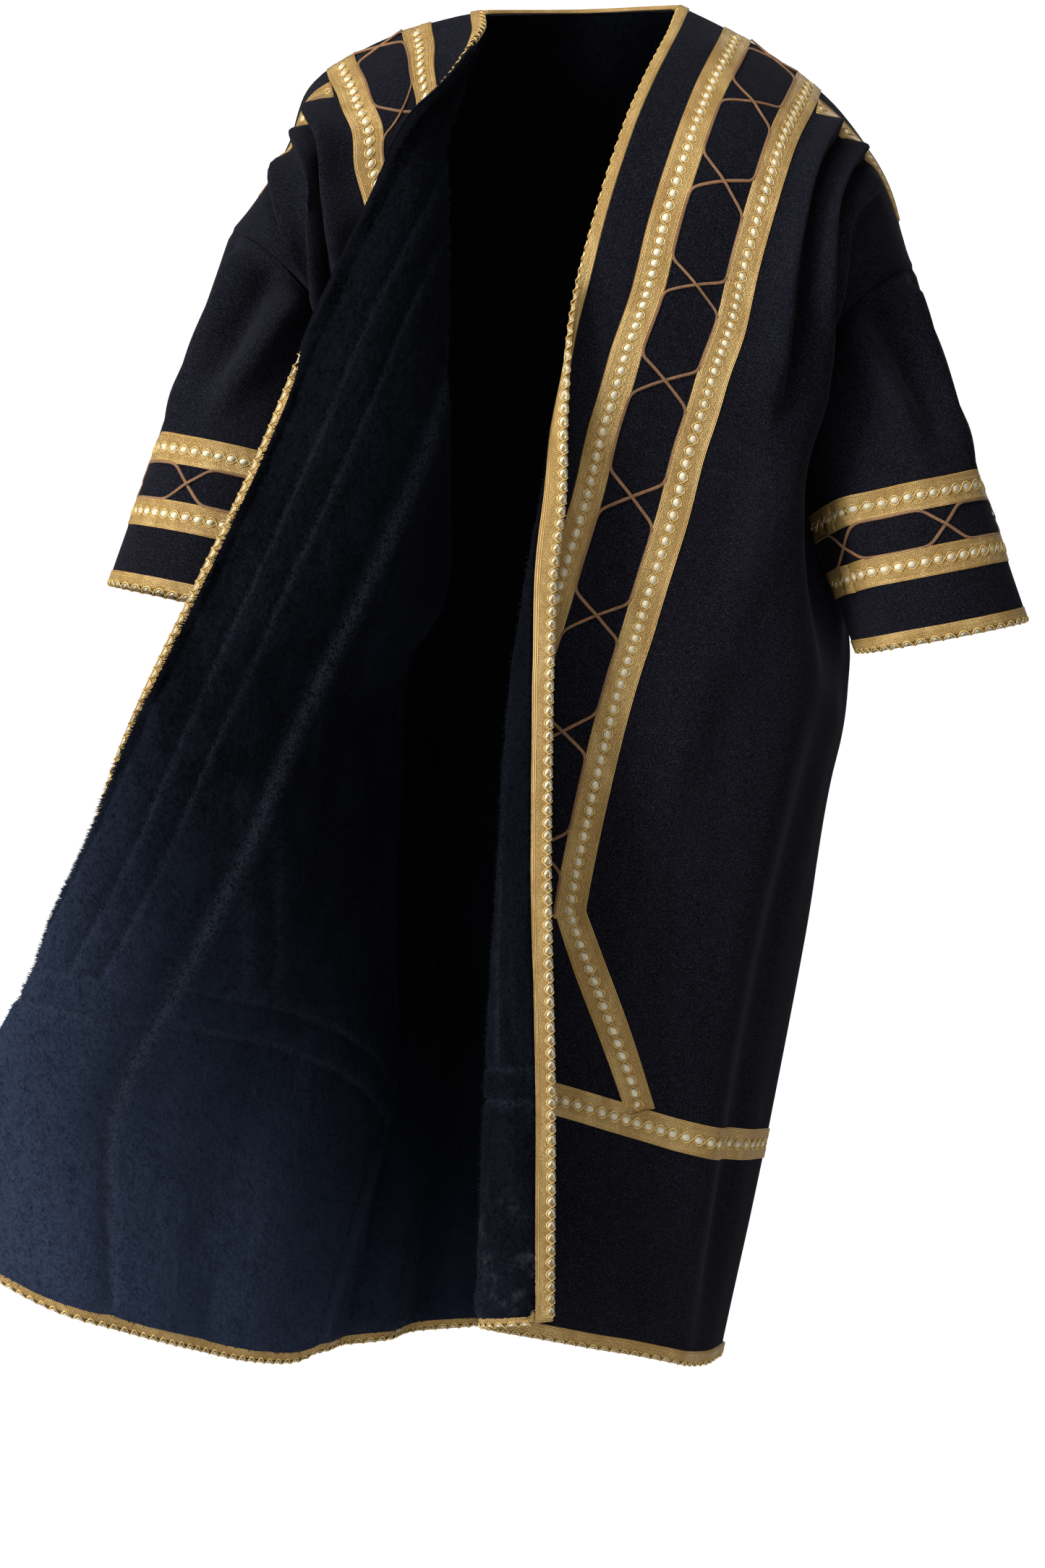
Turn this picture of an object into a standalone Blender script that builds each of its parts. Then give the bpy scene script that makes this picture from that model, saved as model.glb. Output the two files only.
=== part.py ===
"""Farwa: a long open-fronted winter robe of felted wool, lined with plush and edged with gold braid.

It hangs as it is worn, with nobody in it: the left front falls nearly straight with its edge
turned back, and the right front is drawn open so that its lining faces forward. X runs to the
wearer's left, Y to the back and Z up. The origin is the middle of the shoulder line at the neck.

Each cloth panel is a grid of points. Its rows go down the cloth and its columns go across, both at
distances on the flat cut, and its sections come from the short tables below. The lining and every
trimming are made from the same points, moved in or out, so nothing cuts into the cloth.
"""
import math

import bmesh
import bpy
from mathutils import Vector

# Thicknesses, in metres
CLOTH = 0.0025
PLUSH = 0.0050
BRAID = 0.0012
CORD_WIDTH = 0.0030
CORD_HEIGHT = 0.0018
GAP = 0.0003
WALL = CLOTH + GAP + PLUSH
SEAM_SHIFT = 0.0004
HOLLOW_SEAM = 0.10

# Sizes on the flat cut, in metres
LENGTH = 1.330
FRONT_WIDTH = 0.420
ARMHOLE = 0.290
BINDING = 0.0150
BRAID_WIDTH = 0.0310
INNER_BAND = 0.050
OUTER_BAND = 0.136
OUTER_BAND_END = 0.930
HEM_BAND = 1.090
DIAGONAL_END = 0.215
SLEEVE_GIRTH = 0.480
SLEEVE_BAND_WIDTH = 0.029
LOWER_SLEEVE_BAND = 0.0605
UPPER_SLEEVE_BAND = 0.1255
LATTICE_PITCH = 0.109
LATTICE_CROSSING = 0.040
SLEEVE_LATTICE_PITCH = 0.096
BETWEEN = 0.0009
CORNER_INSET = 0.06

# Distances of the columns from the front edge, and of the rows from the shoulder line
COLUMNS = (
    0.0, BINDING, 0.033, 0.050, 0.066, 0.081, 0.108, 0.136, 0.167, 0.210, 0.255, 0.315, FRONT_WIDTH,
)
EDGE_COLUMNS = 9
SHOULDER_COLUMNS = (0, 2, 4, 6, 8, 9, 11, 12)
NECK_COLUMNS = 6
ARMHOLE_ROWS = (0.0, BINDING, 0.055, 0.100, 0.150, 0.200, 0.245, ARMHOLE)
SKIRT_ROWS = (
    0.360, 0.420, 0.470, 0.520, 0.590, 0.690, 0.800, 0.910, 1.010, 1.110, 1.210, LENGTH - BINDING, LENGTH,
)
ROWS = ARMHOLE_ROWS + SKIRT_ROWS

# Each front has a row for each section: the distance down, then the free edge, the lip beside it,
# the turn of the lapel, the chest, the ridge below the shoulder and the cloth under the arm
LEFT_FRONT = (
    (0.00, (0.110, 0.020, 0.010), (0.125, 0.016, 0.002), (0.150, 0.010, -0.012),
     (0.205, 0.005, -0.045), (0.265, 0.005, -0.095), (0.311, 0.010, -0.178)),
    (0.06, (0.096, -0.035, -0.030), (0.104, -0.040, -0.034), (0.116, -0.045, -0.040),
     (0.190, -0.060, -0.085), (0.255, -0.065, -0.140), (0.295, -0.060, -0.205)),
    (0.12, (0.077, -0.075, -0.072), (0.086, -0.080, -0.078), (0.097, -0.085, -0.084),
     (0.175, -0.105, -0.125), (0.245, -0.110, -0.190), (0.268, -0.100, -0.245)),
    (0.20, (0.050, -0.120, -0.140), (0.060, -0.124, -0.144), (0.071, -0.126, -0.150),
     (0.150, -0.140, -0.185), (0.245, -0.132, -0.275), (0.241, -0.100, -0.322)),
    (0.29, (0.020, -0.141, -0.235), (0.031, -0.144, -0.239), (0.043, -0.146, -0.244),
     (0.120, -0.150, -0.265), (0.230, -0.125, -0.355), (0.208, -0.050, -0.410)),
    (0.42, (-0.003, -0.172, -0.358), (-0.001, -0.163, -0.360), (0.003, -0.155, -0.363),
     (0.080, -0.150, -0.370), (0.220, -0.120, -0.448), (0.203, -0.044, -0.510)),
    (0.48, (-0.008, -0.182, -0.422), (-0.013, -0.176, -0.422), (-0.012, -0.166, -0.423),
     (0.065, -0.142, -0.428), (0.218, -0.118, -0.503), (0.212, -0.047, -0.562)),
    (0.56, (-0.010, -0.186, -0.505), (-0.020, -0.182, -0.504), (-0.024, -0.172, -0.502),
     (0.040, -0.138, -0.510), (0.212, -0.118, -0.582), (0.236, -0.050, -0.632)),
    (0.63, (-0.018, -0.194, -0.575), (-0.033, -0.189, -0.575), (-0.039, -0.178, -0.575),
     (0.020, -0.143, -0.585), (0.200, -0.120, -0.645), (0.252, -0.055, -0.690)),
    (0.70, (-0.021, -0.200, -0.645), (-0.040, -0.194, -0.646), (-0.050, -0.172, -0.650),
     (0.036, -0.145, -0.660), (0.188, -0.120, -0.705), (0.240, -0.065, -0.735)),
    (0.90, (-0.024, -0.226, -0.842), (-0.056, -0.214, -0.844), (-0.062, -0.170, -0.850),
     (-0.015, -0.148, -0.863), (0.135, -0.125, -0.895), (0.195, -0.075, -0.905)),
    (1.10, (-0.021, -0.226, -1.042), (-0.062, -0.215, -1.043), (-0.076, -0.175, -1.046),
     (-0.015, -0.150, -1.063), (0.100, -0.120, -1.100), (0.155, -0.070, -1.115)),
    (1.33, (-0.022, -0.226, -1.264), (-0.068, -0.222, -1.268), (-0.085, -0.185, -1.276),
     (-0.020, -0.150, -1.295), (0.080, -0.110, -1.320), (0.125, -0.065, -1.335)),
)
RIGHT_FRONT = (
    (0.00, (-0.090, 0.020, 0.005), (-0.098, 0.018, 0.003), (-0.110, 0.015, 0.000),
     (-0.205, 0.005, -0.035), (-0.260, 0.000, -0.075), (-0.297, 0.012, -0.160)),
    (0.06, (-0.090, -0.031, -0.025), (-0.099, -0.027, -0.031), (-0.112, -0.032, -0.040),
     (-0.180, -0.060, -0.080), (-0.250, -0.070, -0.120), (-0.285, -0.065, -0.175)),
    (0.12, (-0.106, -0.092, -0.062), (-0.107, -0.082, -0.066), (-0.113, -0.074, -0.075),
     (-0.165, -0.098, -0.130), (-0.245, -0.110, -0.165), (-0.262, -0.103, -0.222)),
    (0.16, (-0.129, -0.128, -0.100), (-0.125, -0.118, -0.102), (-0.119, -0.104, -0.109),
     (-0.172, -0.108, -0.160), (-0.243, -0.115, -0.208), (-0.251, -0.100, -0.260)),
    (0.20, (-0.155, -0.147, -0.130), (-0.143, -0.137, -0.133), (-0.128, -0.120, -0.142),
     (-0.180, -0.115, -0.190), (-0.242, -0.118, -0.248), (-0.240, -0.090, -0.298)),
    (0.29, (-0.190, -0.157, -0.218), (-0.155, -0.163, -0.220), (-0.125, -0.137, -0.226),
     (-0.193, -0.112, -0.250), (-0.236, -0.105, -0.308), (-0.209, -0.042, -0.372)),
    (0.42, (-0.240, -0.180, -0.332), (-0.185, -0.188, -0.334), (-0.125, -0.150, -0.337),
     (-0.182, -0.108, -0.350), (-0.227, -0.082, -0.392), (-0.209, -0.030, -0.455)),
    (0.56, (-0.293, -0.200, -0.465), (-0.210, -0.210, -0.470), (-0.125, -0.158, -0.475),
     (-0.180, -0.090, -0.482), (-0.213, -0.047, -0.508), (-0.210, -0.008, -0.555)),
    (0.70, (-0.350, -0.215, -0.588), (-0.235, -0.215, -0.598), (-0.140, -0.130, -0.608),
     (-0.160, -0.060, -0.612), (-0.180, -0.005, -0.618), (-0.195, 0.020, -0.650)),
    (0.83, (-0.403, -0.213, -0.700), (-0.379, -0.219, -0.702), (-0.264, -0.185, -0.714),
     (-0.190, -0.100, -0.722), (-0.175, -0.030, -0.740), (-0.182, 0.010, -0.780)),
    (0.95, (-0.445, -0.202, -0.812), (-0.429, -0.218, -0.814), (-0.330, -0.203, -0.824),
     (-0.235, -0.135, -0.840), (-0.190, -0.050, -0.865), (-0.184, 0.002, -0.905)),
    (1.03, (-0.474, -0.170, -0.884), (-0.469, -0.190, -0.883), (-0.398, -0.190, -0.893),
     (-0.285, -0.132, -0.915), (-0.215, -0.052, -0.945), (-0.190, 0.002, -0.980)),
    (1.10, (-0.500, -0.140, -0.955), (-0.504, -0.161, -0.953), (-0.455, -0.174, -0.960),
     (-0.330, -0.122, -0.985), (-0.240, -0.045, -1.020), (-0.202, 0.002, -1.055)),
    (1.20, (-0.546, -0.102, -1.066), (-0.558, -0.122, -1.061), (-0.518, -0.138, -1.070),
     (-0.385, -0.098, -1.100), (-0.280, -0.042, -1.140), (-0.232, 0.002, -1.168)),
    (1.33, (-0.544, -0.078, -1.250), (-0.556, -0.098, -1.243), (-0.518, -0.112, -1.262),
     (-0.405, -0.085, -1.305), (-0.315, -0.036, -1.335), (-0.272, -0.010, -1.340)),
)
# The back has the ridge, the shoulder and the neck point on its right, its middle, and the same on its left
BACK = (
    (0.00, (-0.260, 0.000, -0.075), (-0.205, 0.005, -0.035), (-0.090, 0.020, 0.005),
     (0.010, 0.075, 0.018), (0.110, 0.020, 0.010), (0.205, 0.005, -0.045), (0.265, 0.005, -0.095)),
    (0.06, (-0.262, 0.058, -0.115), (-0.200, 0.068, -0.075), (-0.090, 0.082, -0.030),
     (0.010, 0.105, -0.035), (0.110, 0.082, -0.025), (0.205, 0.068, -0.082), (0.268, 0.062, -0.132)),
    (0.15, (-0.262, 0.112, -0.190), (-0.200, 0.128, -0.155), (-0.095, 0.148, -0.115),
     (0.010, 0.155, -0.120), (0.115, 0.148, -0.112), (0.205, 0.128, -0.160), (0.265, 0.115, -0.205)),
    (0.20, (-0.243, 0.124, -0.258), (-0.198, 0.140, -0.206), (-0.095, 0.162, -0.165),
     (0.010, 0.169, -0.170), (0.115, 0.162, -0.163), (0.202, 0.140, -0.216), (0.242, 0.124, -0.286)),
    (0.29, (-0.210, 0.100, -0.367), (-0.185, 0.152, -0.310), (-0.095, 0.180, -0.265),
     (0.010, 0.187, -0.260), (0.115, 0.180, -0.265), (0.190, 0.152, -0.325), (0.211, 0.100, -0.405)),
    (0.50, (-0.210, 0.095, -0.542), (-0.180, 0.155, -0.506), (-0.090, 0.188, -0.475),
     (0.010, 0.198, -0.470), (0.110, 0.188, -0.475), (0.205, 0.152, -0.520), (0.258, 0.095, -0.590)),
    (0.80, (-0.205, 0.110, -0.795), (-0.155, 0.162, -0.785), (-0.080, 0.192, -0.775),
     (0.020, 0.202, -0.770), (0.120, 0.188, -0.775), (0.200, 0.140, -0.795), (0.250, 0.070, -0.820)),
    (1.10, (-0.190, 0.100, -1.095), (-0.150, 0.145, -1.090), (-0.090, 0.175, -1.080),
     (-0.010, 0.188, -1.075), (0.080, 0.175, -1.080), (0.155, 0.130, -1.100), (0.193, 0.065, -1.115)),
    (1.33, (-0.208, 0.058, -1.333), (-0.135, 0.128, -1.333), (-0.088, 0.158, -1.332),
     (-0.028, 0.178, -1.330), (0.040, 0.168, -1.332), (0.100, 0.125, -1.335), (0.138, 0.060, -1.337)),
)
# The side seams: the distance down, then the place
LEFT_SIDE = (
    (0.29, (0.210, 0.030, -0.435)),
    (0.36, (0.209, 0.030, -0.498)),
    (0.42, (0.222, 0.030, -0.556)),
    (0.50, (0.256, 0.028, -0.628)),
    (0.56, (0.274, 0.025, -0.672)),
    (0.64, (0.273, 0.018, -0.722)),
    (0.70, (0.261, 0.010, -0.768)),
    (0.90, (0.232, 0.000, -0.930)),
    (1.10, (0.196, 0.000, -1.122)),
    (1.33, (0.150, 0.000, -1.337)),
)
RIGHT_SIDE = (
    (0.29, (-0.210, 0.030, -0.400)),
    (0.42, (-0.205, 0.030, -0.500)),
    (0.56, (-0.210, 0.028, -0.605)),
    (0.70, (-0.200, 0.038, -0.715)),
    (0.83, (-0.188, 0.045, -0.820)),
    (0.95, (-0.183, 0.050, -0.945)),
    (1.10, (-0.185, 0.045, -1.095)),
    (1.20, (-0.212, 0.030, -1.190)),
    (1.33, (-0.252, 0.000, -1.333)),
)
# A sleeve's two end rings: their middle, and from it to the outer side, to the front and to the back
LEFT_SLEEVE = (
    ((0.2765, 0.025, -0.310), (0.0665, -0.005, 0.050), (0.0, -0.105, 0.010), (0.0, 0.100, 0.0)),
    ((0.3580, -0.070, -0.625), (0.0830, 0.0, 0.016), (0.0, -0.058, -0.004), (0.0, 0.058, 0.004)),
)
RIGHT_SLEEVE = (
    ((-0.2750, 0.025, -0.2725), (-0.0650, -0.005, 0.0525), (0.0, -0.105, 0.0025), (0.0, 0.100, 0.0)),
    ((-0.3750, -0.045, -0.583), (-0.0800, 0.0, 0.020), (0.0, -0.058, 0.0), (0.0, 0.058, 0.0)),
)
SLEEVE_LENGTH = 0.350
# Round the armhole from the shoulder: how far outward, how far to the front or back, and the drop
ARMHOLE_SHAPE = (
    (0.0, 1.0, 0.0, 0.0),
    (BINDING, 0.986, 0.167, 0.0),
    (0.055, 0.828, 0.560, 0.0),
    (0.100, 0.468, 0.884, 0.0),
    (0.150, -0.054, 0.970, 0.004),
    (0.200, -0.560, 0.790, 0.016),
    (0.245, -0.870, 0.420, 0.040),
    (ARMHOLE, -1.0, 0.0, 0.075),
)

# Folds: the place across and the rows where each starts and ends, its lean, half width and height
LEFT_FOLDS = (
    {"across": 0.212, "top": 0.02, "end": 0.40, "lean": 0.00, "half": 0.024, "height": 0.009},
    {"across": 0.262, "top": 0.04, "end": 0.30, "lean": 0.00, "half": 0.026, "height": -0.005},
    {"across": 0.300, "top": 0.42, "end": 1.40, "lean": 0.02, "half": 0.030, "height": 0.008},
    {"across": 0.355, "top": 0.55, "end": 1.45, "lean": -0.01, "half": 0.024, "height": -0.008},
    {"across": 0.235, "top": 0.80, "end": 1.45, "lean": 0.03, "half": 0.028, "height": -0.006},
)
RIGHT_FOLDS = (
    {"across": 0.212, "top": 0.02, "end": 0.40, "lean": 0.00, "half": 0.022, "height": 0.009},
    {"across": 0.262, "top": 0.04, "end": 0.30, "lean": 0.00, "half": 0.026, "height": -0.005},
    {"across": 0.250, "top": 0.75, "end": 1.45, "lean": 0.03, "half": 0.035, "height": 0.008},
    {"across": 0.110, "top": 0.90, "end": 1.45, "lean": 0.02, "half": 0.030, "height": -0.006},
)
BACK_FLUTES = 5
BACK_FLUTE_HEIGHT = 0.013
BACK_FLUTE_TOP = 0.20
SLEEVE_CREASES = 3
SLEEVE_CREASE_HEIGHT = 0.004


def remove_startup_objects():
    for thing in list(bpy.data.objects):
        bpy.data.objects.remove(thing, do_unlink=True)


def finish(name, colour, roughness, metallic=0.0):
    material = bpy.data.materials.new(name)
    material.use_nodes = True
    shader = material.node_tree.nodes["Principled BSDF"]
    shader.inputs["Base Color"].default_value = (*colour, 1.0)
    shader.inputs["Roughness"].default_value = roughness
    shader.inputs["Metallic"].default_value = metallic
    return material


def slopes(places, values):
    """The slope at each place of a smooth curve that goes through the values."""
    steps = [b - a for a, b in zip(places, places[1:])]
    rises = [(b - a) / h for a, b, h in zip(values, values[1:], steps)]
    inner = [
        (rises[k] * steps[k + 1] + rises[k + 1] * steps[k]) / (steps[k] + steps[k + 1])
        for k in range(len(rises) - 1)
    ]
    return [rises[0]] + inner + [rises[-1]]


def smooth_at(places, values, slope, place):
    """The curve's value at a place, by a cubic between the two nearest points."""
    k = 0
    while k < len(places) - 2 and place > places[k + 1]:
        k += 1
    h = places[k + 1] - places[k]
    u = min(max((place - places[k]) / h, 0.0), 1.0)
    start = (1 + 2 * u) * (1 - u) ** 2
    end = u * u * (3 - 2 * u)
    return (
        values[k] * start
        + slope[k] * (h * u * (1 - u) ** 2)
        + values[k + 1] * end
        + slope[k + 1] * (h * u * u * (u - 1))
    )


def section(table, down):
    """The points of a panel's section at a distance down the cloth."""
    places = [row[0] for row in table]
    points = []
    for column in range(1, len(table[0])):
        values = [Vector(row[column]) for row in table]
        points.append(smooth_at(places, values, slopes(places, values), down))
    return points


def dense_curve(points, per_span=14):
    """Many points along a smooth curve through a section's points, and how far along each lies."""
    places = [0.0]
    for a, b in zip(points, points[1:]):
        places.append(places[-1] + max((b - a).length, 1e-4) ** 0.7)
    slope = slopes(places, points)
    fine = []
    for k in range(len(points) - 1):
        for step in range(per_span):
            place = places[k] + (places[k + 1] - places[k]) * step / per_span
            fine.append(smooth_at(places, points, slope, place))
    fine.append(points[-1].copy())
    far = [0.0]
    for a, b in zip(fine, fine[1:]):
        far.append(far[-1] + (b - a).length)
    return fine, far


def at_distance(fine, far, distance):
    k = 0
    while k < len(far) - 2 and far[k + 1] < distance:
        k += 1
    u = (distance - far[k]) / max(far[k + 1] - far[k], 1e-9)
    return fine[k].lerp(fine[k + 1], min(max(u, 0.0), 1.0))


def eased(value):
    value = min(max(value, 0.0), 1.0)
    return value * value * (3 - 2 * value)


def ring_point(ring, shape, to_front, drop_share):
    middle, outer, front, back = (Vector(v) for v in ring)
    down, outward, sideways, drop = shape
    aside = (front if to_front else back) * sideways
    return middle + outer * outward + aside - Vector((0, 0, drop * drop_share))


def side_point(side, ring, down, to_front):
    """A panel's outer border: round the armhole first, then down the side seam."""
    if down >= ARMHOLE:
        return section(side, down)[0]
    return ring_point(ring, ARMHOLE_SHAPE[ARMHOLE_ROWS.index(down)], to_front, 1.0)


class Panel:
    """A piece of cloth as a grid of points on its outer face, with an outward direction at each."""

    def __init__(self, name, across, downs, points, facing, closed=False):
        self.name = name
        self.across = list(across)
        self.downs = list(downs)
        self.points = points
        self.facing = facing
        self.closed = closed
        self.aim()

    def neighbour(self, i, j, di, dj):
        rows = len(self.points)
        columns = len(self.points[0])
        if self.closed:
            return self.points[min(max(i + di, 0), rows - 1)][(j + dj) % columns]
        return self.points[min(max(i + di, 0), rows - 1)][min(max(j + dj, 0), columns - 1)]

    def aim(self):
        self.normals = []
        for i, row in enumerate(self.points):
            self.normals.append([])
            for j in range(len(row)):
                wide = self.neighbour(i, j, 0, 1) - self.neighbour(i, j, 0, -1)
                tall = self.neighbour(i, j, 1, 0) - self.neighbour(i, j, -1, 0)
                self.normals[i].append((wide.cross(tall) * self.facing).normalized())

    def fold(self, height_at):
        for i, row in enumerate(self.points):
            for j in range(len(row)):
                row[j] = row[j] + self.normals[i][j] * height_at(self.across[j], self.downs[i])
        self.aim()

    def corner(self, i, j, out):
        j = j % len(self.points[0]) if self.closed else j
        return self.points[i][j] + self.normals[i][j] * out

    def place(self, across, down, out):
        """A point over the flat cut, on the flat triangle of the grid that it falls in."""
        i = max(k for k in range(len(self.downs) - 1) if down >= self.downs[k] - 1e-9 or k == 0)
        j = max(k for k in range(len(self.across) - 1) if across >= self.across[k] - 1e-9 or k == 0)
        u = (across - self.across[j]) / (self.across[j + 1] - self.across[j])
        v = (down - self.downs[i]) / (self.downs[i + 1] - self.downs[i])
        near = self.corner(i, j, out)
        far = self.corner(i + 1, j + 1, out)
        if u > v:
            return near + (self.corner(i, j + 1, out) - near) * (u - v) + (far - near) * v
        return near + (self.corner(i + 1, j, out) - near) * (v - u) + (far - near) * u


def fold_height(folds):
    def height(across, down):
        total = 0.0
        for fold in folds:
            middle = fold["across"] + fold["lean"] * (down - fold["top"])
            shape = math.exp(-(((across - middle) / fold["half"]) ** 2))
            length = fold["end"] - fold["top"]
            window = eased((down - fold["top"]) / (0.3 * length))
            window *= eased((fold["end"] - down) / (0.3 * length))
            total += fold["height"] * shape * window
        return total * eased((FRONT_WIDTH - across) / 0.05)
    return height


def front_panel(name, table, side, ring, folds, facing):
    points = []
    for down in ROWS:
        crossing = section(table, down) + [side_point(side, ring, down, True)]
        fine, far = dense_curve(crossing)
        stretch = (far[-1] - COLUMNS[EDGE_COLUMNS - 1]) / (FRONT_WIDTH - COLUMNS[EDGE_COLUMNS - 1])
        row = []
        for k, column in enumerate(COLUMNS):
            if k >= EDGE_COLUMNS:
                column = COLUMNS[EDGE_COLUMNS - 1] + (column - COLUMNS[EDGE_COLUMNS - 1]) * stretch
            row.append(at_distance(fine, far, column))
        points.append(row)
    panel = Panel(name, COLUMNS, ROWS, points, facing)
    panel.fold(fold_height(folds))
    return panel


def straighten_shoulder(panel):
    """Between the columns that the back shares, the front's top row lies on straight lines."""
    for a, b in zip(SHOULDER_COLUMNS, SHOULDER_COLUMNS[1:]):
        for j in range(a + 1, b):
            share = (panel.across[j] - panel.across[a]) / (panel.across[b] - panel.across[a])
            panel.points[0][j] = panel.points[0][a].lerp(panel.points[0][b], share)
            panel.normals[0][j] = panel.normals[0][a].lerp(panel.normals[0][b], share)


def neck_curve(start, middle, end):
    fine, far = dense_curve([start, middle, end])
    return [at_distance(fine, far, far[-1] * k / NECK_COLUMNS) for k in range(1, NECK_COLUMNS)]


def back_panel(right_front, left_front):
    right_top = [right_front.points[0][j] for j in reversed(SHOULDER_COLUMNS)]
    left_top = [left_front.points[0][j] for j in SHOULDER_COLUMNS]
    top = right_top + neck_curve(right_top[-1], Vector(BACK[0][4]), left_top[0]) + left_top
    spans = [(b - a).length for a, b in zip(top, top[1:])]
    top_share = [sum(spans[:k]) / sum(spans) for k in range(len(top))]
    even_share = [k / (len(top) - 1) for k in range(len(top))]
    points = [top]
    for down in ROWS[1:]:
        crossing = (
            [side_point(RIGHT_SIDE, RIGHT_SLEEVE[0], down, False)]
            + section(BACK, down)
            + [side_point(LEFT_SIDE, LEFT_SLEEVE[0], down, False)]
        )
        fine, far = dense_curve(crossing)
        blend = eased(down / 0.35)
        shares = [a + (b - a) * blend for a, b in zip(top_share, even_share)]
        points.append([at_distance(fine, far, far[-1] * share) for share in shares])
    for j in range(1, len(top) - 1):
        points[1][j] = points[0][j].lerp(points[2][j], ROWS[1] / ROWS[2])
    panel = Panel("back", even_share, ROWS, points, 1)

    def flutes(across, down):
        window = eased((down - BACK_FLUTE_TOP) / 0.7)
        window *= eased(across / 0.12) * eased((1 - across) / 0.12)
        return BACK_FLUTE_HEIGHT * window * math.sin(2 * math.pi * BACK_FLUTES * across)

    panel.fold(flutes)
    return panel


def sleeve_panel(name, rings, facing):
    """A tube from the armhole to the cuff, its first column at the seam under the arm."""
    stations = [(shape, True) for shape in reversed(ARMHOLE_SHAPE)]
    stations += [(shape, False) for shape in ARMHOLE_SHAPE[1:-1]]
    from_cuff = (
        SLEEVE_LENGTH,
        0.250,
        UPPER_SLEEVE_BAND + SLEEVE_BAND_WIDTH,
        UPPER_SLEEVE_BAND,
        LOWER_SLEEVE_BAND + SLEEVE_BAND_WIDTH,
        LOWER_SLEEVE_BAND,
        BINDING,
        0.0,
    )
    downs = [SLEEVE_LENGTH - distance for distance in from_cuff]
    upper = UPPER_SLEEVE_BAND + SLEEVE_BAND_WIDTH
    points = [[] for _ in downs]
    for shape, to_front in stations:
        start = ring_point(rings[0], shape, to_front, 1.0)
        end = ring_point(rings[1], shape, to_front, 0.0)
        length = (end - start).length
        for i, distance in enumerate(from_cuff):
            if distance > upper:
                distance = upper + (distance - upper) * (length - upper) / (SLEEVE_LENGTH - upper)
            points[i].append(end.lerp(start, distance / length))
    across = [SLEEVE_GIRTH * k / len(stations) for k in range(len(stations) + 1)]
    panel = Panel(name, across, downs, points, facing, closed=True)

    def creases(place, down):
        window = math.sin(math.pi * down / SLEEVE_LENGTH) ** 2
        wave = math.sin(2 * math.pi * (SLEEVE_CREASES * place / SLEEVE_GIRTH + 0.8 * down / SLEEVE_LENGTH))
        return SLEEVE_CREASE_HEIGHT * window * wave

    panel.fold(creases)
    return panel


def part_seams(panels):
    """Where borders meet, one shared outward direction, and each border moved back from the seam.

    In a hollow joint, as under the arm, the sleeve and the body each keep their own direction.
    """
    meeting = {}
    for panel in panels:
        rows = len(panel.points)
        columns = len(panel.points[0])
        for i in range(rows):
            for j in range(columns):
                if panel.closed and i > 0:
                    continue
                if not panel.closed and 0 < i < rows - 1 and 0 < j < columns - 1:
                    continue
                key = tuple(round(value, 4) for value in panel.points[i][j])
                step_i = 1 if i == 0 else (-1 if i == rows - 1 else 0)
                step_j = 0 if panel.closed else (1 if j == 0 else (-1 if j == columns - 1 else 0))
                inward = (panel.neighbour(i, j, step_i, step_j) - panel.points[i][j]).normalized()
                meeting.setdefault(key, []).append((panel, i, j, inward))
    for group in meeting.values():
        if len(group) < 2:
            continue
        facing = [panel.normals[i][j].copy() for panel, i, j, _ in group]
        together = sum((inward for *_, inward in group), Vector())
        hollow = sum(facing, Vector()).dot(together) > HOLLOW_SEAM * len(group)
        for k, (panel, i, j, inward) in enumerate(group):
            alike = [
                way for n, way in enumerate(facing) if not hollow or group[n][0].closed == panel.closed
            ]
            outward = sum(alike, Vector()).normalized()
            others = (together - inward) / (len(group) - 1)
            away = inward - others
            away -= outward * away.dot(outward)
            shift = away.normalized() * SEAM_SHIFT
            if hollow:
                shift -= outward * (2 * SEAM_SHIFT)
            panel.points[i][j] = panel.points[i][j] + shift
            panel.normals[i][j] = outward


def make_object(name, bm, material):
    mesh = bpy.data.meshes.new(name)
    bmesh.ops.recalc_face_normals(bm, faces=bm.faces)
    bm.to_mesh(mesh)
    bm.free()
    mesh.shade_smooth()
    mesh.set_sharp_from_angle(angle=math.radians(50))
    thing = bpy.data.objects.new(name, mesh)
    thing.data.materials.append(material)
    bpy.context.collection.objects.link(thing)
    return thing


def wall(name, panel, out, into, material):
    """A closed wall between two depths under the panel's outer face."""
    bm = bmesh.new()
    rows = len(panel.points)
    columns = len(panel.points[0])
    layers = [
        [[bm.verts.new(panel.corner(i, j, -depth)) for j in range(columns)] for i in range(rows)]
        for depth in (out, into)
    ]
    spans = columns if panel.closed else columns - 1
    for i in range(rows - 1):
        for j in range(spans):
            k = (j + 1) % columns
            for layer in layers:
                bm.faces.new((layer[i][j], layer[i][k], layer[i + 1][k]))
                bm.faces.new((layer[i][j], layer[i + 1][k], layer[i + 1][j]))
    for i in (0, rows - 1):
        for j in range(spans):
            k = (j + 1) % columns
            bm.faces.new((layers[0][i][j], layers[0][i][k], layers[1][i][k]))
            bm.faces.new((layers[0][i][j], layers[1][i][k], layers[1][i][j]))
    if not panel.closed:
        for j in (0, columns - 1):
            for i in range(rows - 1):
                bm.faces.new((layers[0][i][j], layers[0][i + 1][j], layers[1][i + 1][j]))
                bm.faces.new((layers[0][i][j], layers[1][i + 1][j], layers[1][i][j]))
    return make_object(name, bm, material)


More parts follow.
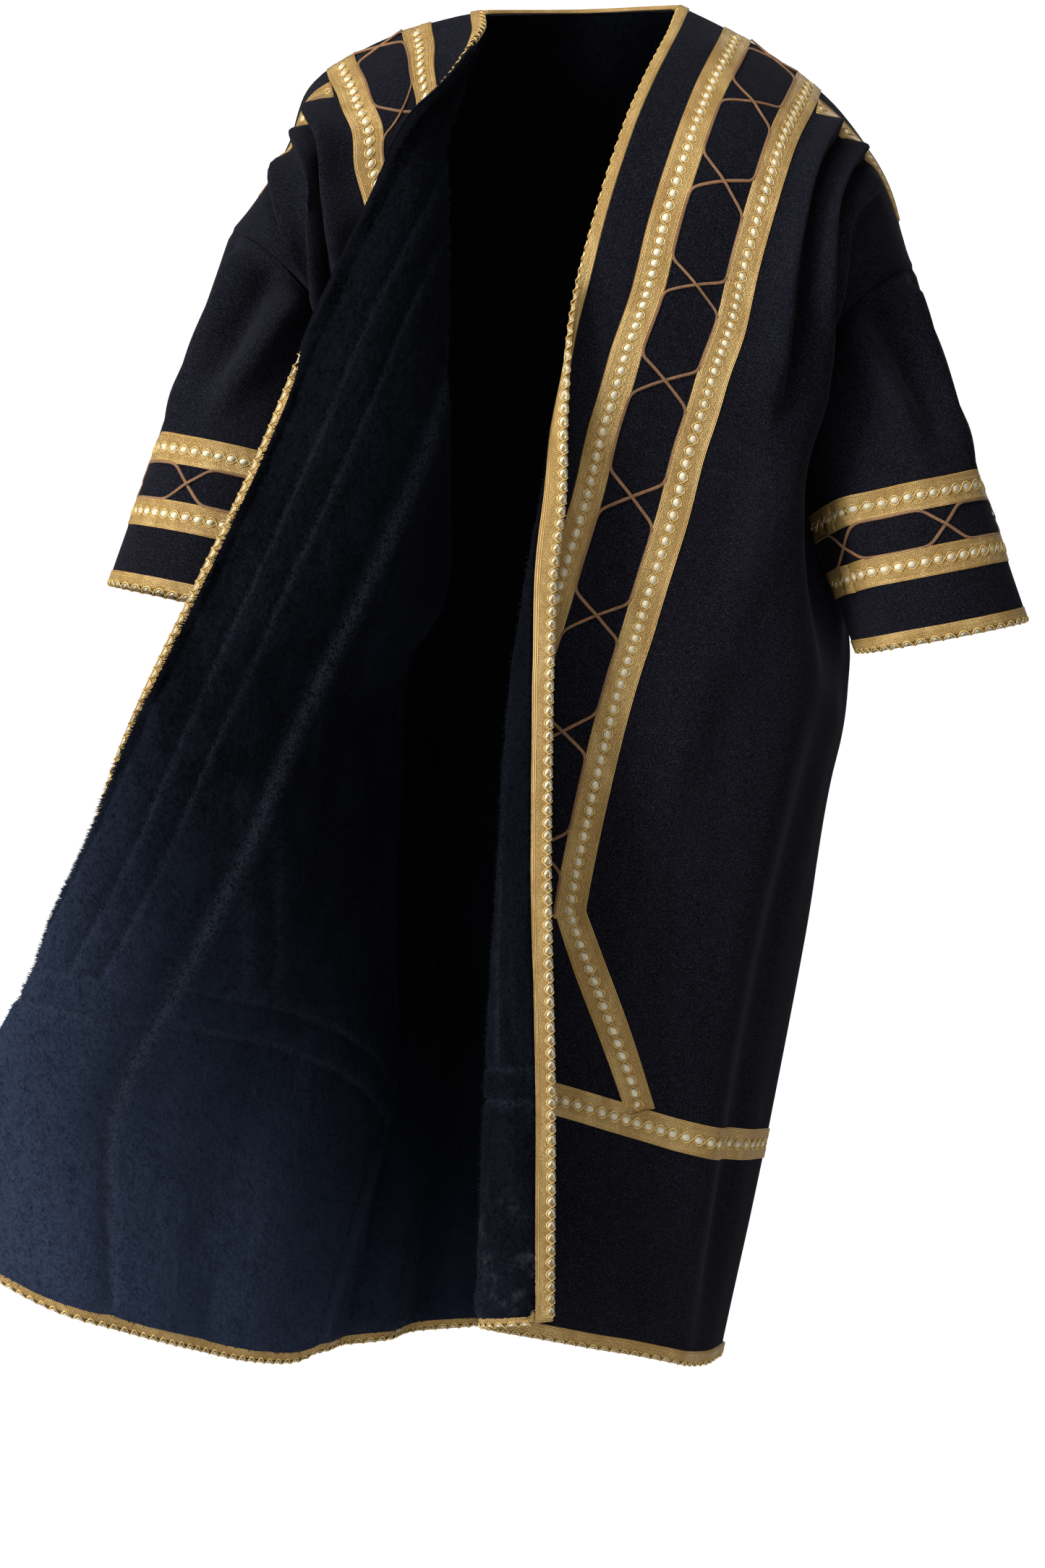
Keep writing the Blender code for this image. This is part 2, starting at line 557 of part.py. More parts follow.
def laid_on(name, panel, shapes, height, material):
    """Trimming drawn on the flat cut, cut along the panel's own triangles and lifted off it."""
    flat = bmesh.new()
    for shape in shapes:
        flat.faces.new([flat.verts.new((across, down, 0.0)) for across, down in shape])
    bmesh.ops.remove_doubles(flat, verts=flat.verts, dist=1e-6)
    for axis, places in ((0, panel.across), (1, panel.downs)):
        direction = Vector((1, 0, 0)) if axis == 0 else Vector((0, 1, 0))
        for place in places[1:-1]:
            everything = flat.verts[:] + flat.edges[:] + flat.faces[:]
            bmesh.ops.bisect_plane(
                flat, geom=everything, dist=1e-6, plane_co=direction * place, plane_no=direction,
            )
    for i in range(len(panel.downs) - 1):
        for j in range(len(panel.across) - 1):
            low = Vector((panel.across[j], panel.downs[i], 0))
            high = Vector((panel.across[j + 1], panel.downs[i + 1], 0))
            inside = []
            for face in flat.faces:
                middle = face.calc_center_median()
                if low.x < middle.x < high.x and low.y < middle.y < high.y:
                    inside.append(face)
            if not inside:
                continue
            edges = {edge for face in inside for edge in face.edges}
            verts = {vert for face in inside for vert in face.verts}
            slant = high - low
            bmesh.ops.bisect_plane(
                flat, geom=list(verts) + list(edges) + inside, dist=1e-6,
                plane_co=low, plane_no=Vector((slant.y, -slant.x, 0)),
            )
    flat.verts.ensure_lookup_table()
    flat.verts.index_update()
    bm = bmesh.new()
    lower = [bm.verts.new(panel.place(v.co.x, v.co.y, GAP)) for v in flat.verts]
    upper = [bm.verts.new(panel.place(v.co.x, v.co.y, GAP + height)) for v in flat.verts]
    for face in flat.faces:
        ids = [vert.index for vert in face.verts]
        bm.faces.new([lower[k] for k in ids])
        bm.faces.new([upper[k] for k in reversed(ids)])
    for edge in flat.edges:
        if len(edge.link_faces) == 1:
            a, b = (vert.index for vert in edge.verts)
            bm.faces.new((lower[a], lower[b], upper[b], upper[a]))
    flat.free()
    return make_object(name, bm, material)


def binding(name, pairs, material, edge_first, closed=False):
    """Braid folded over an edge: each pair is the edge's point and one a little inside the cloth.

    Its faces are halved the same way as the cloth's, which starts at the edge or on the inside.
    """
    bm = bmesh.new()
    loops = []
    for edge, edge_out, inside, inside_out in pairs:
        beyond = (edge - inside).normalized()
        near = GAP
        far = GAP + BRAID
        middle = edge - edge_out * (CLOTH + GAP / 2)
        profile = (
            inside + inside_out * near,
            inside + inside_out * far,
            edge + edge_out * far + beyond * far,
            middle + beyond * far,
            edge - edge_out * (WALL + far) + beyond * far,
            inside - inside_out * (WALL + far),
            inside - inside_out * (WALL + near),
            edge - edge_out * (WALL + near) + beyond * near,
            middle + beyond * near,
            edge + edge_out * near + beyond * near,
        )
        loops.append([bm.verts.new(point) for point in profile])
    spans = len(loops) if closed else len(loops) - 1
    for i in range(spans):
        a = loops[i]
        b = loops[(i + 1) % len(loops)]
        for k in range(len(a)):
            m = (k + 1) % len(a)
            if k in ((2, 3, 4, 9) if edge_first else (1, 2, 3, 6)):
                bm.faces.new((a[k], a[m], b[m]))
                bm.faces.new((a[k], b[m], b[k]))
            else:
                bm.faces.new((a[k], a[m], b[k]))
                bm.faces.new((a[m], b[m], b[k]))
    if not closed:
        for loop in (loops[0], loops[-1]):
            bm.faces.new((loop[0], loop[1], loop[2], loop[9]))
            bm.faces.new((loop[2], loop[3], loop[8], loop[9]))
            bm.faces.new((loop[3], loop[4], loop[7], loop[8]))
            bm.faces.new((loop[4], loop[5], loop[6], loop[7]))
    return make_object(name, bm, material)


def edge_pair(panel, i, j, di, dj):
    a = (i, j)
    b = (i + di, j + dj)
    return tuple(grid[i][j] for i, j in (a, b) for grid in (panel.points, panel.normals))


def between(one, other, share):
    return tuple(a.lerp(b, share) for a, b in zip(one, other))


def crossing(start_a, end_a, start_b, end_b, width):
    """Two straight strips that cross: the shared middle and the four arms, as separate quads."""
    def sides(start, end):
        along = (end - start).normalized()
        across = Vector((-along.y, along.x)) * (width / 2)
        return (start + across, end + across), (start - across, end - across)

    def meet(one, two):
        d1 = one[1] - one[0]
        d2 = two[1] - two[0]
        u = ((two[0] - one[0]).x * d2.y - (two[0] - one[0]).y * d2.x) / (d1.x * d2.y - d1.y * d2.x)
        return one[0] + d1 * u

    a_sides = sides(start_a, end_a)
    b_sides = sides(start_b, end_b)
    return {(p, q): meet(a_sides[p], b_sides[q]) for p in (0, 1) for q in (0, 1)}


def lattice_shapes(low, high, top, bottom, pitch, first, crossing_length, width):
    """Two cords that run along both sides of a lane and change sides at each crossing.

    The lane runs down the cloth between the distances low and high; a shape's points are
    (across, down).
    """
    left = low + width / 2 + BETWEEN
    right = high - width / 2 - BETWEEN
    half = crossing_length / 2
    shapes = []
    place = first
    ends = []
    while place - half < bottom:
        ends.append(place)
        place += pitch
    previous = top
    for place in ends:
        start = max(place - half, top)
        end = min(place + half, bottom)
        if place < top + half or place > bottom - half:
            continue
        corner = {
            "left_start": Vector((left, start)), "right_start": Vector((right, start)),
            "left_end": Vector((left, end)), "right_end": Vector((right, end)),
        }
        middle = crossing(
            corner["left_start"], corner["right_end"], corner["right_start"], corner["left_end"], width,
        )
        mitres = {}
        for key, point in corner.items():
            towards = Vector((left + right, 2 * place)) / 2 - point
            along = towards.normalized()
            straight = Vector((0, 1 if key.endswith("start") else -1))
            bend = (along + straight).normalized()
            across = Vector((-bend.y, bend.x)) * (width / 2 / bend.dot(along))
            mitres[key] = (point + across, point - across)
        arms = (
            (mitres["left_start"], (middle[(0, 0)], middle[(1, 0)])),
            (mitres["right_end"], (middle[(0, 1)], middle[(1, 1)])),
            (mitres["right_start"], (middle[(1, 0)], middle[(1, 1)])),
            (mitres["left_end"], (middle[(0, 0)], middle[(0, 1)])),
        )
        for outer, inner in arms:
            shapes.append(ordered((outer[0], outer[1], inner[0], inner[1])))
        shapes.append(ordered(tuple(middle.values())))
        if start > previous:
            for key, lane in (("left_start", left), ("right_start", right)):
                shapes.append(ordered((
                    Vector((lane - width / 2, previous)), Vector((lane + width / 2, previous)),
                    mitres[key][0], mitres[key][1],
                )))
        previous_pairs = (mitres["left_end"], mitres["right_end"])
        next_start = min(place + pitch - half, bottom)
        later = place + pitch <= bottom - half
        if not later:
            for pair, lane in zip(previous_pairs, (left, right)):
                shapes.append(ordered((
                    Vector((lane - width / 2, bottom)), Vector((lane + width / 2, bottom)), pair[0], pair[1],
                )))
        else:
            following = (
                (Vector((left, next_start)), Vector((right, next_start + crossing_length))),
                (Vector((right, next_start)), Vector((left, next_start + crossing_length))),
            )
            for pair, (point, to) in zip(previous_pairs, following):
                along = (to - point).normalized()
                bend = (along + Vector((0, 1))).normalized()
                across = Vector((-bend.y, bend.x)) * (width / 2 / bend.dot(along))
                shapes.append(ordered((point + across, point - across, pair[0], pair[1])))
        previous = bottom
    return shapes


def ordered(points):
    """The same points in order round their middle, as (across, down) pairs."""
    middle = sum(points, Vector((0, 0))) / len(points)
    turned = sorted(points, key=lambda p: math.atan2(p.y - middle.y, p.x - middle.x))
    return [(p.x, p.y) for p in turned]


def oblong(low, high, top, bottom):
    return [(low, top), (high, top), (high, bottom), (low, bottom)]


def front_trimmings(side_name, panel, braid, cord):
    band_top = 2 * BETWEEN
    inner_end = HEM_BAND - BETWEEN
    inner = [oblong(INNER_BAND, INNER_BAND + BRAID_WIDTH, band_top, inner_end)]
    laid_on(f"front_{side_name}_band_inner", panel, inner, BRAID, braid)
    outer = [oblong(OUTER_BAND, OUTER_BAND + BRAID_WIDTH, band_top, OUTER_BAND_END)]
    laid_on(f"front_{side_name}_band_outer", panel, outer, BRAID, braid)
    diagonal = [[
        (OUTER_BAND, OUTER_BAND_END + BETWEEN),
        (OUTER_BAND + BRAID_WIDTH, OUTER_BAND_END + BETWEEN),
        (DIAGONAL_END + BRAID_WIDTH * 1.1, HEM_BAND - BETWEEN),
        (DIAGONAL_END, HEM_BAND - BETWEEN),
    ]]
    laid_on(f"front_{side_name}_band_diagonal", panel, diagonal, BRAID, braid)
    across = [oblong(COLUMNS[1] + BETWEEN, FRONT_WIDTH - 2 * BETWEEN, HEM_BAND, HEM_BAND + BRAID_WIDTH)]
    laid_on(f"hem_band_{side_name}", panel, across, BRAID, braid)
    shoulder = [[
        (OUTER_BAND + BRAID_WIDTH + BETWEEN, 0.018),
        (0.330, band_top),
        (0.375, band_top),
        (0.375, 0.006),
        (OUTER_BAND + BRAID_WIDTH + BETWEEN, 0.018 + BRAID_WIDTH),
    ]]
    laid_on(f"shoulder_band_{side_name}", panel, shoulder, BRAID, braid)
    lane = lattice_shapes(
        INNER_BAND + BRAID_WIDTH, OUTER_BAND, band_top, OUTER_BAND_END,
        LATTICE_PITCH, LATTICE_PITCH, LATTICE_CROSSING, CORD_WIDTH,
    )
    laid_on(f"lattice_{side_name}", panel, lane, CORD_HEIGHT, cord)


def sleeve_trimmings(side_name, panel, braid, cord):
    ends = (2 * BETWEEN, SLEEVE_GIRTH - 2 * BETWEEN)
    for band, from_cuff in (("upper", UPPER_SLEEVE_BAND), ("lower", LOWER_SLEEVE_BAND)):
        bottom = SLEEVE_LENGTH - from_cuff
        ring = [oblong(ends[0], ends[1], bottom - SLEEVE_BAND_WIDTH, bottom)]
        laid_on(f"sleeve_band_{band}_{side_name}", panel, ring, BRAID, braid)
    high = SLEEVE_LENGTH - (LOWER_SLEEVE_BAND + SLEEVE_BAND_WIDTH)
    low = SLEEVE_LENGTH - UPPER_SLEEVE_BAND
    lane = lattice_shapes(
        low, high, ends[0], ends[1],
        SLEEVE_LATTICE_PITCH, SLEEVE_LATTICE_PITCH / 2, 0.030, CORD_WIDTH,
    )
    turned = [[(down, across) for across, down in reversed(shape)] for shape in lane]
    laid_on(f"sleeve_lattice_{side_name}", panel, turned, CORD_HEIGHT, cord)


def build():
    remove_startup_objects()
    wool = finish("charcoal_wool", (0.018, 0.020, 0.024), 0.95)
    plush = finish("black_plush", (0.008, 0.010, 0.015), 0.80)
    braid = finish("gold_braid", (0.60, 0.38, 0.12), 0.45, 0.25)
    cord = finish("brown_cord", (0.30, 0.13, 0.04), 0.60)

    left = front_panel("front_left", LEFT_FRONT, LEFT_SIDE, LEFT_SLEEVE[0], LEFT_FOLDS, -1)
    right = front_panel("front_right", RIGHT_FRONT, RIGHT_SIDE, RIGHT_SLEEVE[0], RIGHT_FOLDS, 1)
    back = back_panel(right, left)
    sleeve_left = sleeve_panel("sleeve_left", LEFT_SLEEVE, -1)
    sleeve_right = sleeve_panel("sleeve_right", RIGHT_SLEEVE, 1)
    panels = (back, left, right, sleeve_left, sleeve_right)
    part_seams(panels)
    straighten_shoulder(left)
    straighten_shoulder(right)

    for panel in panels:
        wall(panel.name, panel, 0.0, CLOTH, wool)
        wall(f"{panel.name}_lining", panel, CLOTH + GAP, WALL, plush)

    last = len(ROWS) - 1
    for side_name, panel in (("left", left), ("right", right)):
        binding(f"front_{side_name}_binding", [edge_pair(panel, i, 0, 0, 1) for i in range(last + 1)], braid, True)
        hem = [edge_pair(panel, last, j, -1, 0) for j in range(1, len(COLUMNS))]
        hem[0] = between(hem[0], hem[1], CORNER_INSET)
        binding(f"hem_binding_{side_name}", hem, braid, False)
        front_trimmings(side_name, panel, braid, cord)
    back_columns = len(back.across)
    binding("hem_binding_back", [edge_pair(back, last, j, -1, 0) for j in range(back_columns)], braid, False)
    neck_start = len(SHOULDER_COLUMNS) - 1
    neck = [edge_pair(back, 0, j, 1, 0) for j in range(neck_start, neck_start + NECK_COLUMNS + 1)]
    neck[0] = between(neck[0], neck[1], CORNER_INSET)
    neck[-1] = between(neck[-1], neck[-2], CORNER_INSET)
    binding("neck_binding", neck, braid, True)
    for side_name, panel in (("left", sleeve_left), ("right", sleeve_right)):
        rows = len(panel.downs) - 1
        cuff = [edge_pair(panel, rows, j, -1, 0) for j in range(len(panel.points[0]))]
        binding(f"cuff_binding_{side_name}", cuff, braid, False, closed=True)
        sleeve_trimmings(side_name, panel, braid, cord)


build()
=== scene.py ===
# %% [markdown]
# # A lined winter robe with gold braid
# This is a farwa: a long robe of felted wool with a thick plush lining, open down the front and
# edged with folded gold braid. It hangs as it is worn, with nobody in it. The CAD model gives
# its cut, its drape and its frame. Here the same cloth is drawn with many more points, and the
# nap, the braid's raised chain and the ribbed cord are added on top of it.

# %% Load the frame
import math

import bmesh
import bpy
import numpy as np
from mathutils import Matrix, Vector, noise


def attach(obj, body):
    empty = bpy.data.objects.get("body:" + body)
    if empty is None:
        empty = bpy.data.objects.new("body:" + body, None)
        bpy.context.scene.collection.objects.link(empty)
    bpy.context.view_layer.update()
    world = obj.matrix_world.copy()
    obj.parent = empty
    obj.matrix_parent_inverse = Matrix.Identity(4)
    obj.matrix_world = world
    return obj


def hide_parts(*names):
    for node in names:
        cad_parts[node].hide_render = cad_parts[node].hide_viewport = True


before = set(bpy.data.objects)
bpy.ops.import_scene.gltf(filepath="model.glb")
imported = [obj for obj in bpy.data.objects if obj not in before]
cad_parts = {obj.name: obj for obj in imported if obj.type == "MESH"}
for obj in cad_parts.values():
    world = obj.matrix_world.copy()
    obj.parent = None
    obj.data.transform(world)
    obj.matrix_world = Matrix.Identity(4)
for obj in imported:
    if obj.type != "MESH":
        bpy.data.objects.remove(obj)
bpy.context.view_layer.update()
print("nodes in the frame:", len(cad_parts))

# %% [markdown]
# ## Camera
# The photograph was taken level with the robe's middle, about three metres away, with a lens
# that is long enough to keep the sides upright. The camera comes first, so that every later
# step can be looked at from where the photograph was taken.

# %% Camera
def add_object(name, data):
    thing = bpy.data.objects.new(name, data)
    bpy.context.collection.objects.link(thing)
    return thing


camera = add_object("camera", bpy.data.cameras.new("camera"))
camera.data.lens = 69.2
camera.data.sensor_width = 36.0
camera.location = (-0.0486, -3.0, -0.770)
camera.rotation_euler = (math.radians(90), 0, 0)
bpy.context.scene.camera = camera
print("camera at", tuple(round(v, 3) for v in camera.location))

# %% [markdown]
# ## The cut and the drape
# Cloth is easiest to place when every point has an address on the flat cut: its distance from
# the front edge, and its distance down from the shoulder line. The tables hold sections of the
# worn robe at a few distances down. They are the CAD model's, apart from the folds, the left
# side seam and the right cuff, which follow the photograph more closely here. The tables are in
# millimetres, and everything else is in metres.

# %% Sizes on the flat cut
CLOTH = 0.0025
LAYER_GAP = 0.0003
PLUSH = 0.0050
WALL = CLOTH + LAYER_GAP + PLUSH
LENGTH = 1.330
FRONT_WIDTH = 0.420
ARMHOLE = 0.290
BRAID_WIDTH = 0.0310
INNER_BAND = 0.050
OUTER_BAND = 0.136
OUTER_BAND_END = 0.930
HEM_BAND = 1.090
FUZZY_SEAM = 0.150
DIAGONAL_END = 0.215
SLEEVE_LENGTH = 0.350
SLEEVE_GIRTH = 0.480
SLEEVE_BAND_WIDTH = 0.029
LOWER_SLEEVE_BAND = 0.0605
UPPER_SLEEVE_BAND = 0.1255
LATTICE_PITCH = 0.109
LATTICE_CROSSING = 0.038
SLEEVE_PITCH = 0.096


def metres(table):
    """A table of millimetres in metres."""
    return tuple(metres(value) if isinstance(value, tuple) else value / 1000 for value in table)


# %% Sections of the two fronts
# Each row: the distance down, then the free edge, the lip beside it, the turn of the lapel, the
# chest, the ridge below the shoulder and the cloth under the arm
LEFT_FRONT = metres((
    (0, (110, 20, 10), (125, 16, 2), (150, 10, -12), (205, 5, -45), (265, 5, -95), (311, 10, -178)),
    (60, (96, -35, -30), (104, -40, -34), (116, -45, -40), (190, -60, -85), (255, -65, -140),
     (295, -60, -205)),
    (120, (77, -75, -72), (86, -80, -78), (97, -85, -84), (175, -105, -125), (245, -110, -190),
     (268, -100, -245)),
    (200, (50, -120, -140), (60, -124, -144), (71, -126, -150), (150, -140, -185),
     (245, -132, -275), (241, -100, -322)),
    (290, (20, -141, -235), (31, -144, -239), (43, -146, -244), (120, -150, -265),
     (230, -125, -355), (208, -50, -410)),
    (420, (-3, -172, -358), (-1, -163, -360), (3, -155, -363), (80, -150, -370),
     (220, -120, -448), (203, -44, -510)),
    (480, (-8, -182, -422), (-13, -176, -422), (-12, -166, -423), (65, -142, -428),
     (218, -118, -503), (212, -47, -562)),
    (560, (-10, -186, -505), (-20, -182, -504), (-24, -172, -502), (40, -138, -510),
     (212, -118, -582), (236, -50, -632)),
    (630, (-18, -194, -575), (-33, -189, -575), (-39, -178, -575), (20, -143, -585),
     (200, -120, -645), (252, -55, -690)),
    (700, (-21, -200, -645), (-40, -194, -646), (-50, -172, -650), (36, -145, -660),
     (188, -120, -705), (240, -65, -735)),
    (900, (-24, -226, -842), (-56, -214, -844), (-62, -170, -850), (-15, -148, -863),
     (135, -125, -895), (195, -75, -905)),
    (1100, (-21, -226, -1042), (-62, -215, -1043), (-76, -175, -1046), (-15, -150, -1063),
     (100, -120, -1100), (155, -70, -1115)),
    (1330, (-22, -226, -1264), (-68, -222, -1268), (-85, -185, -1276), (-20, -150, -1295),
     (80, -110, -1320), (125, -65, -1335)),
))
RIGHT_FRONT = metres((
    (0, (-90, 20, 5), (-98, 18, 3), (-110, 15, 0), (-205, 5, -35), (-260, 0, -75), (-297, 12, -160)),
    (60, (-90, -31, -25), (-99, -27, -31), (-112, -32, -40), (-180, -60, -80), (-250, -70, -120),
     (-285, -65, -175)),
    (120, (-106, -92, -62), (-107, -82, -66), (-113, -74, -75), (-165, -98, -130),
     (-245, -110, -165), (-262, -103, -222)),
    (160, (-129, -128, -100), (-125, -118, -102), (-119, -104, -109), (-172, -108, -160),
     (-243, -115, -208), (-251, -100, -260)),
    (200, (-155, -147, -130), (-143, -137, -133), (-128, -120, -142), (-180, -115, -190),
     (-242, -118, -248), (-240, -90, -298)),
    (290, (-190, -157, -218), (-155, -163, -220), (-125, -137, -226), (-193, -112, -250),
     (-236, -105, -308), (-209, -42, -372)),
    (420, (-240, -180, -332), (-185, -188, -334), (-125, -150, -337), (-182, -108, -350),
     (-227, -82, -392), (-209, -30, -455)),
    (560, (-293, -200, -465), (-210, -210, -470), (-125, -158, -475), (-180, -90, -482),
     (-213, -47, -508), (-210, -8, -555)),
    (700, (-350, -215, -588), (-235, -215, -598), (-140, -130, -608), (-160, -60, -612),
     (-180, -5, -618), (-195, 20, -650)),
    (830, (-403, -213, -700), (-379, -219, -702), (-264, -185, -714), (-190, -100, -722),
     (-175, -30, -740), (-182, 10, -780)),
    (950, (-445, -202, -812), (-429, -218, -814), (-330, -203, -824), (-235, -135, -840),
     (-190, -50, -865), (-184, 2, -905)),
    (1030, (-474, -170, -884), (-469, -190, -883), (-398, -190, -893), (-285, -132, -915),
     (-215, -52, -945), (-190, 2, -980)),
    (1100, (-500, -140, -955), (-504, -161, -953), (-455, -174, -960), (-330, -122, -985),
     (-240, -45, -1020), (-202, 2, -1055)),
    (1200, (-546, -102, -1066), (-558, -122, -1061), (-518, -138, -1070), (-385, -98, -1100),
     (-280, -42, -1140), (-232, 2, -1168)),
    (1330, (-544, -78, -1250), (-556, -98, -1243), (-518, -112, -1262), (-405, -85, -1305),
     (-315, -36, -1335), (-272, -10, -1340)),
))

# %% Sections of the back, the side seams and the sleeves
# The back's ridge, shoulder and neck point on its right, its middle, and the same on its left
BACK = metres((
    (0, (-260, 0, -75), (-205, 5, -35), (-90, 20, 5), (10, 75, 18), (110, 20, 10), (205, 5, -45),
     (265, 5, -95)),
    (60, (-262, 58, -115), (-200, 68, -75), (-90, 82, -30), (10, 105, -35), (110, 82, -25),
     (205, 68, -82), (268, 62, -132)),
    (150, (-262, 112, -190), (-200, 128, -155), (-95, 148, -115), (10, 155, -120),
     (115, 148, -112), (205, 128, -160), (265, 115, -205)),
    (200, (-243, 124, -258), (-198, 140, -206), (-95, 162, -165), (10, 169, -170),
     (115, 162, -163), (202, 140, -216), (242, 124, -286)),
    (290, (-210, 100, -367), (-185, 152, -310), (-95, 180, -265), (10, 187, -260),
     (115, 180, -265), (190, 152, -325), (211, 100, -405)),
    (500, (-210, 95, -542), (-180, 155, -506), (-90, 188, -475), (10, 198, -470),
     (110, 188, -475), (205, 152, -520), (258, 95, -590)),
    (800, (-205, 110, -795), (-155, 162, -785), (-80, 192, -775), (20, 202, -770),
     (120, 188, -775), (200, 140, -795), (250, 70, -820)),
    (1100, (-190, 100, -1095), (-150, 145, -1090), (-90, 175, -1080), (-10, 188, -1075),
     (80, 175, -1080), (155, 130, -1100), (193, 65, -1115)),
    (1330, (-208, 58, -1333), (-135, 128, -1333), (-88, 158, -1332), (-28, 178, -1330),
     (40, 168, -1332), (100, 125, -1335), (138, 60, -1337)),
))
LEFT_SIDE = metres((
    (290, (210, 30, -435)), (360, (242, 30, -498)), (420, (268, 30, -556)), (500, (282, 28, -628)),
    (560, (280, 25, -672)), (640, (273, 18, -722)), (700, (261, 10, -768)), (900, (232, 0, -930)),
    (1100, (196, 0, -1122)), (1330, (150, 0, -1337)),
))
RIGHT_SIDE = metres((
    (290, (-210, 30, -400)), (420, (-205, 30, -500)), (560, (-210, 28, -605)), (700, (-200, 38, -715)),
    (830, (-188, 45, -820)), (950, (-183, 50, -945)), (1100, (-185, 45, -1095)),
    (1200, (-212, 30, -1190)), (1330, (-252, 0, -1333)),
))
# A sleeve's two end rings: their middle, then the way to its outer side, its front and its back
LEFT_SLEEVE = metres((
    ((276.5, 25, -310), (66.5, -5, 50), (0, -105, 10), (0, 100, 0)),
    ((358, -70, -625), (83, 0, 16), (0, -58, -4), (0, 58, 4)),
))
RIGHT_SLEEVE = metres((
    ((-275, 25, -272.5), (-65, -5, 52.5), (0, -105, 2.5), (0, 100, 0)),
    ((-375, -45, -589), (-79, 0, 16.5), (0, -58, 0), (0, 58, 0)),
))
# Round the armhole, by millimetres from the shoulder: how far outward and how far to the front or
# back, in thousandths of the ring's own size, and how far down, in millimetres
ARMHOLE_SHAPE = metres((
    (0, (1000, 0, 0)), (15, (986, 167, 0)), (55, (828, 560, 0)), (100, (468, 884, 0)),
    (150, (-54, 970, 4)), (200, (-560, 790, 16)), (245, (-870, 420, 40)), (290, (-1000, 0, 75)),
))

# %% [markdown]
# ## Smooth curves through the sections
# A smooth cubic runs through the same point of each section, so a table with a dozen rows gives
# a section at any distance down. Along a section the points are then spaced by their real
# distance on the cloth, because cloth bends but doesn't stretch.

# %% Curves


def slopes(places, values):
    steps = [b - a for a, b in zip(places, places[1:])]
    rises = [(b - a) / h for a, b, h in zip(values, values[1:], steps)]
    inner = [
        (rises[k] * steps[k + 1] + rises[k + 1] * steps[k]) / (steps[k] + steps[k + 1])
        for k in range(len(rises) - 1)
    ]
    return [rises[0]] + inner + [rises[-1]]


def smooth_at(places, values, slope, place):
    k = 0
    while k < len(places) - 2 and place > places[k + 1]:
        k += 1
    h = places[k + 1] - places[k]
    u = min(max((place - places[k]) / h, 0.0), 1.0)
    start = (1 + 2 * u) * (1 - u) ** 2
    end = u * u * (3 - 2 * u)
    return (
        values[k] * start
        + slope[k] * (h * u * (1 - u) ** 2)
        + values[k + 1] * end
        + slope[k + 1] * (h * u * u * (u - 1))
    )


class Sections:
    """The sections of a table, ready to be read at any distance down."""

    def __init__(self, table):
        self.places = [row[0] for row in table]
        self.values = [[Vector(row[k]) for row in table] for k in range(1, len(table[0]))]
        self.slopes = [slopes(self.places, values) for values in self.values]

    def at(self, down):
        return [smooth_at(self.places, v, s, down) for v, s in zip(self.values, self.slopes)]


def dense_curve(points, per_span=14):
    places = [0.0]
    for a, b in zip(points, points[1:]):
        places.append(places[-1] + max((b - a).length, 1e-4) ** 0.7)
    slope = slopes(places, points)
    dense = []
    for k in range(len(points) - 1):
        for step in range(per_span):
            place = places[k] + (places[k + 1] - places[k]) * step / per_span
            dense.append(smooth_at(places, points, slope, place))
    dense.append(points[-1].copy())
    far = [0.0]
    for a, b in zip(dense, dense[1:]):
        far.append(far[-1] + (b - a).length)
    return np.array(dense), np.array(far)


def lengths(points):
    """How far each point is along a row of points."""
    return np.concatenate([[0.0], np.cumsum(np.linalg.norm(np.diff(points, axis=0), axis=1))])


def bell(distance, half):
    """1 on a line, and soon 0 to either side of it."""
    return np.exp(-((distance / half) ** 2))


def unit(ways):
    """The same ways, each of length 1."""
    return ways / np.maximum(np.linalg.norm(ways, axis=-1, keepdims=True), 1e-12)


def along(curve, distances):
    """Points at the distances along a dense curve, as rows of an array."""
    dense, far = curve
    return np.stack([np.interp(distances, far, dense[:, k]) for k in range(3)], axis=-1)


def eased(value):
    value = np.clip(value, 0.0, 1.0)
    return value * value * (3 - 2 * value)


left_side = Sections(LEFT_SIDE)
right_side = Sections(RIGHT_SIDE)
back_sections = Sections(BACK)
armhole_shape = Sections(ARMHOLE_SHAPE)
print("the left side seam at half length:", tuple(round(v, 3) for v in left_side.at(0.665)[0]))

# %% [markdown]
# ## One class for every panel
# A panel is a grid of points on the wool's outer face with an outward direction at each. Braid
# and cord are drawn on the flat cut and carried over to the worn cloth by the same grid, so
# they lie on every fold by themselves.

# %% Panel


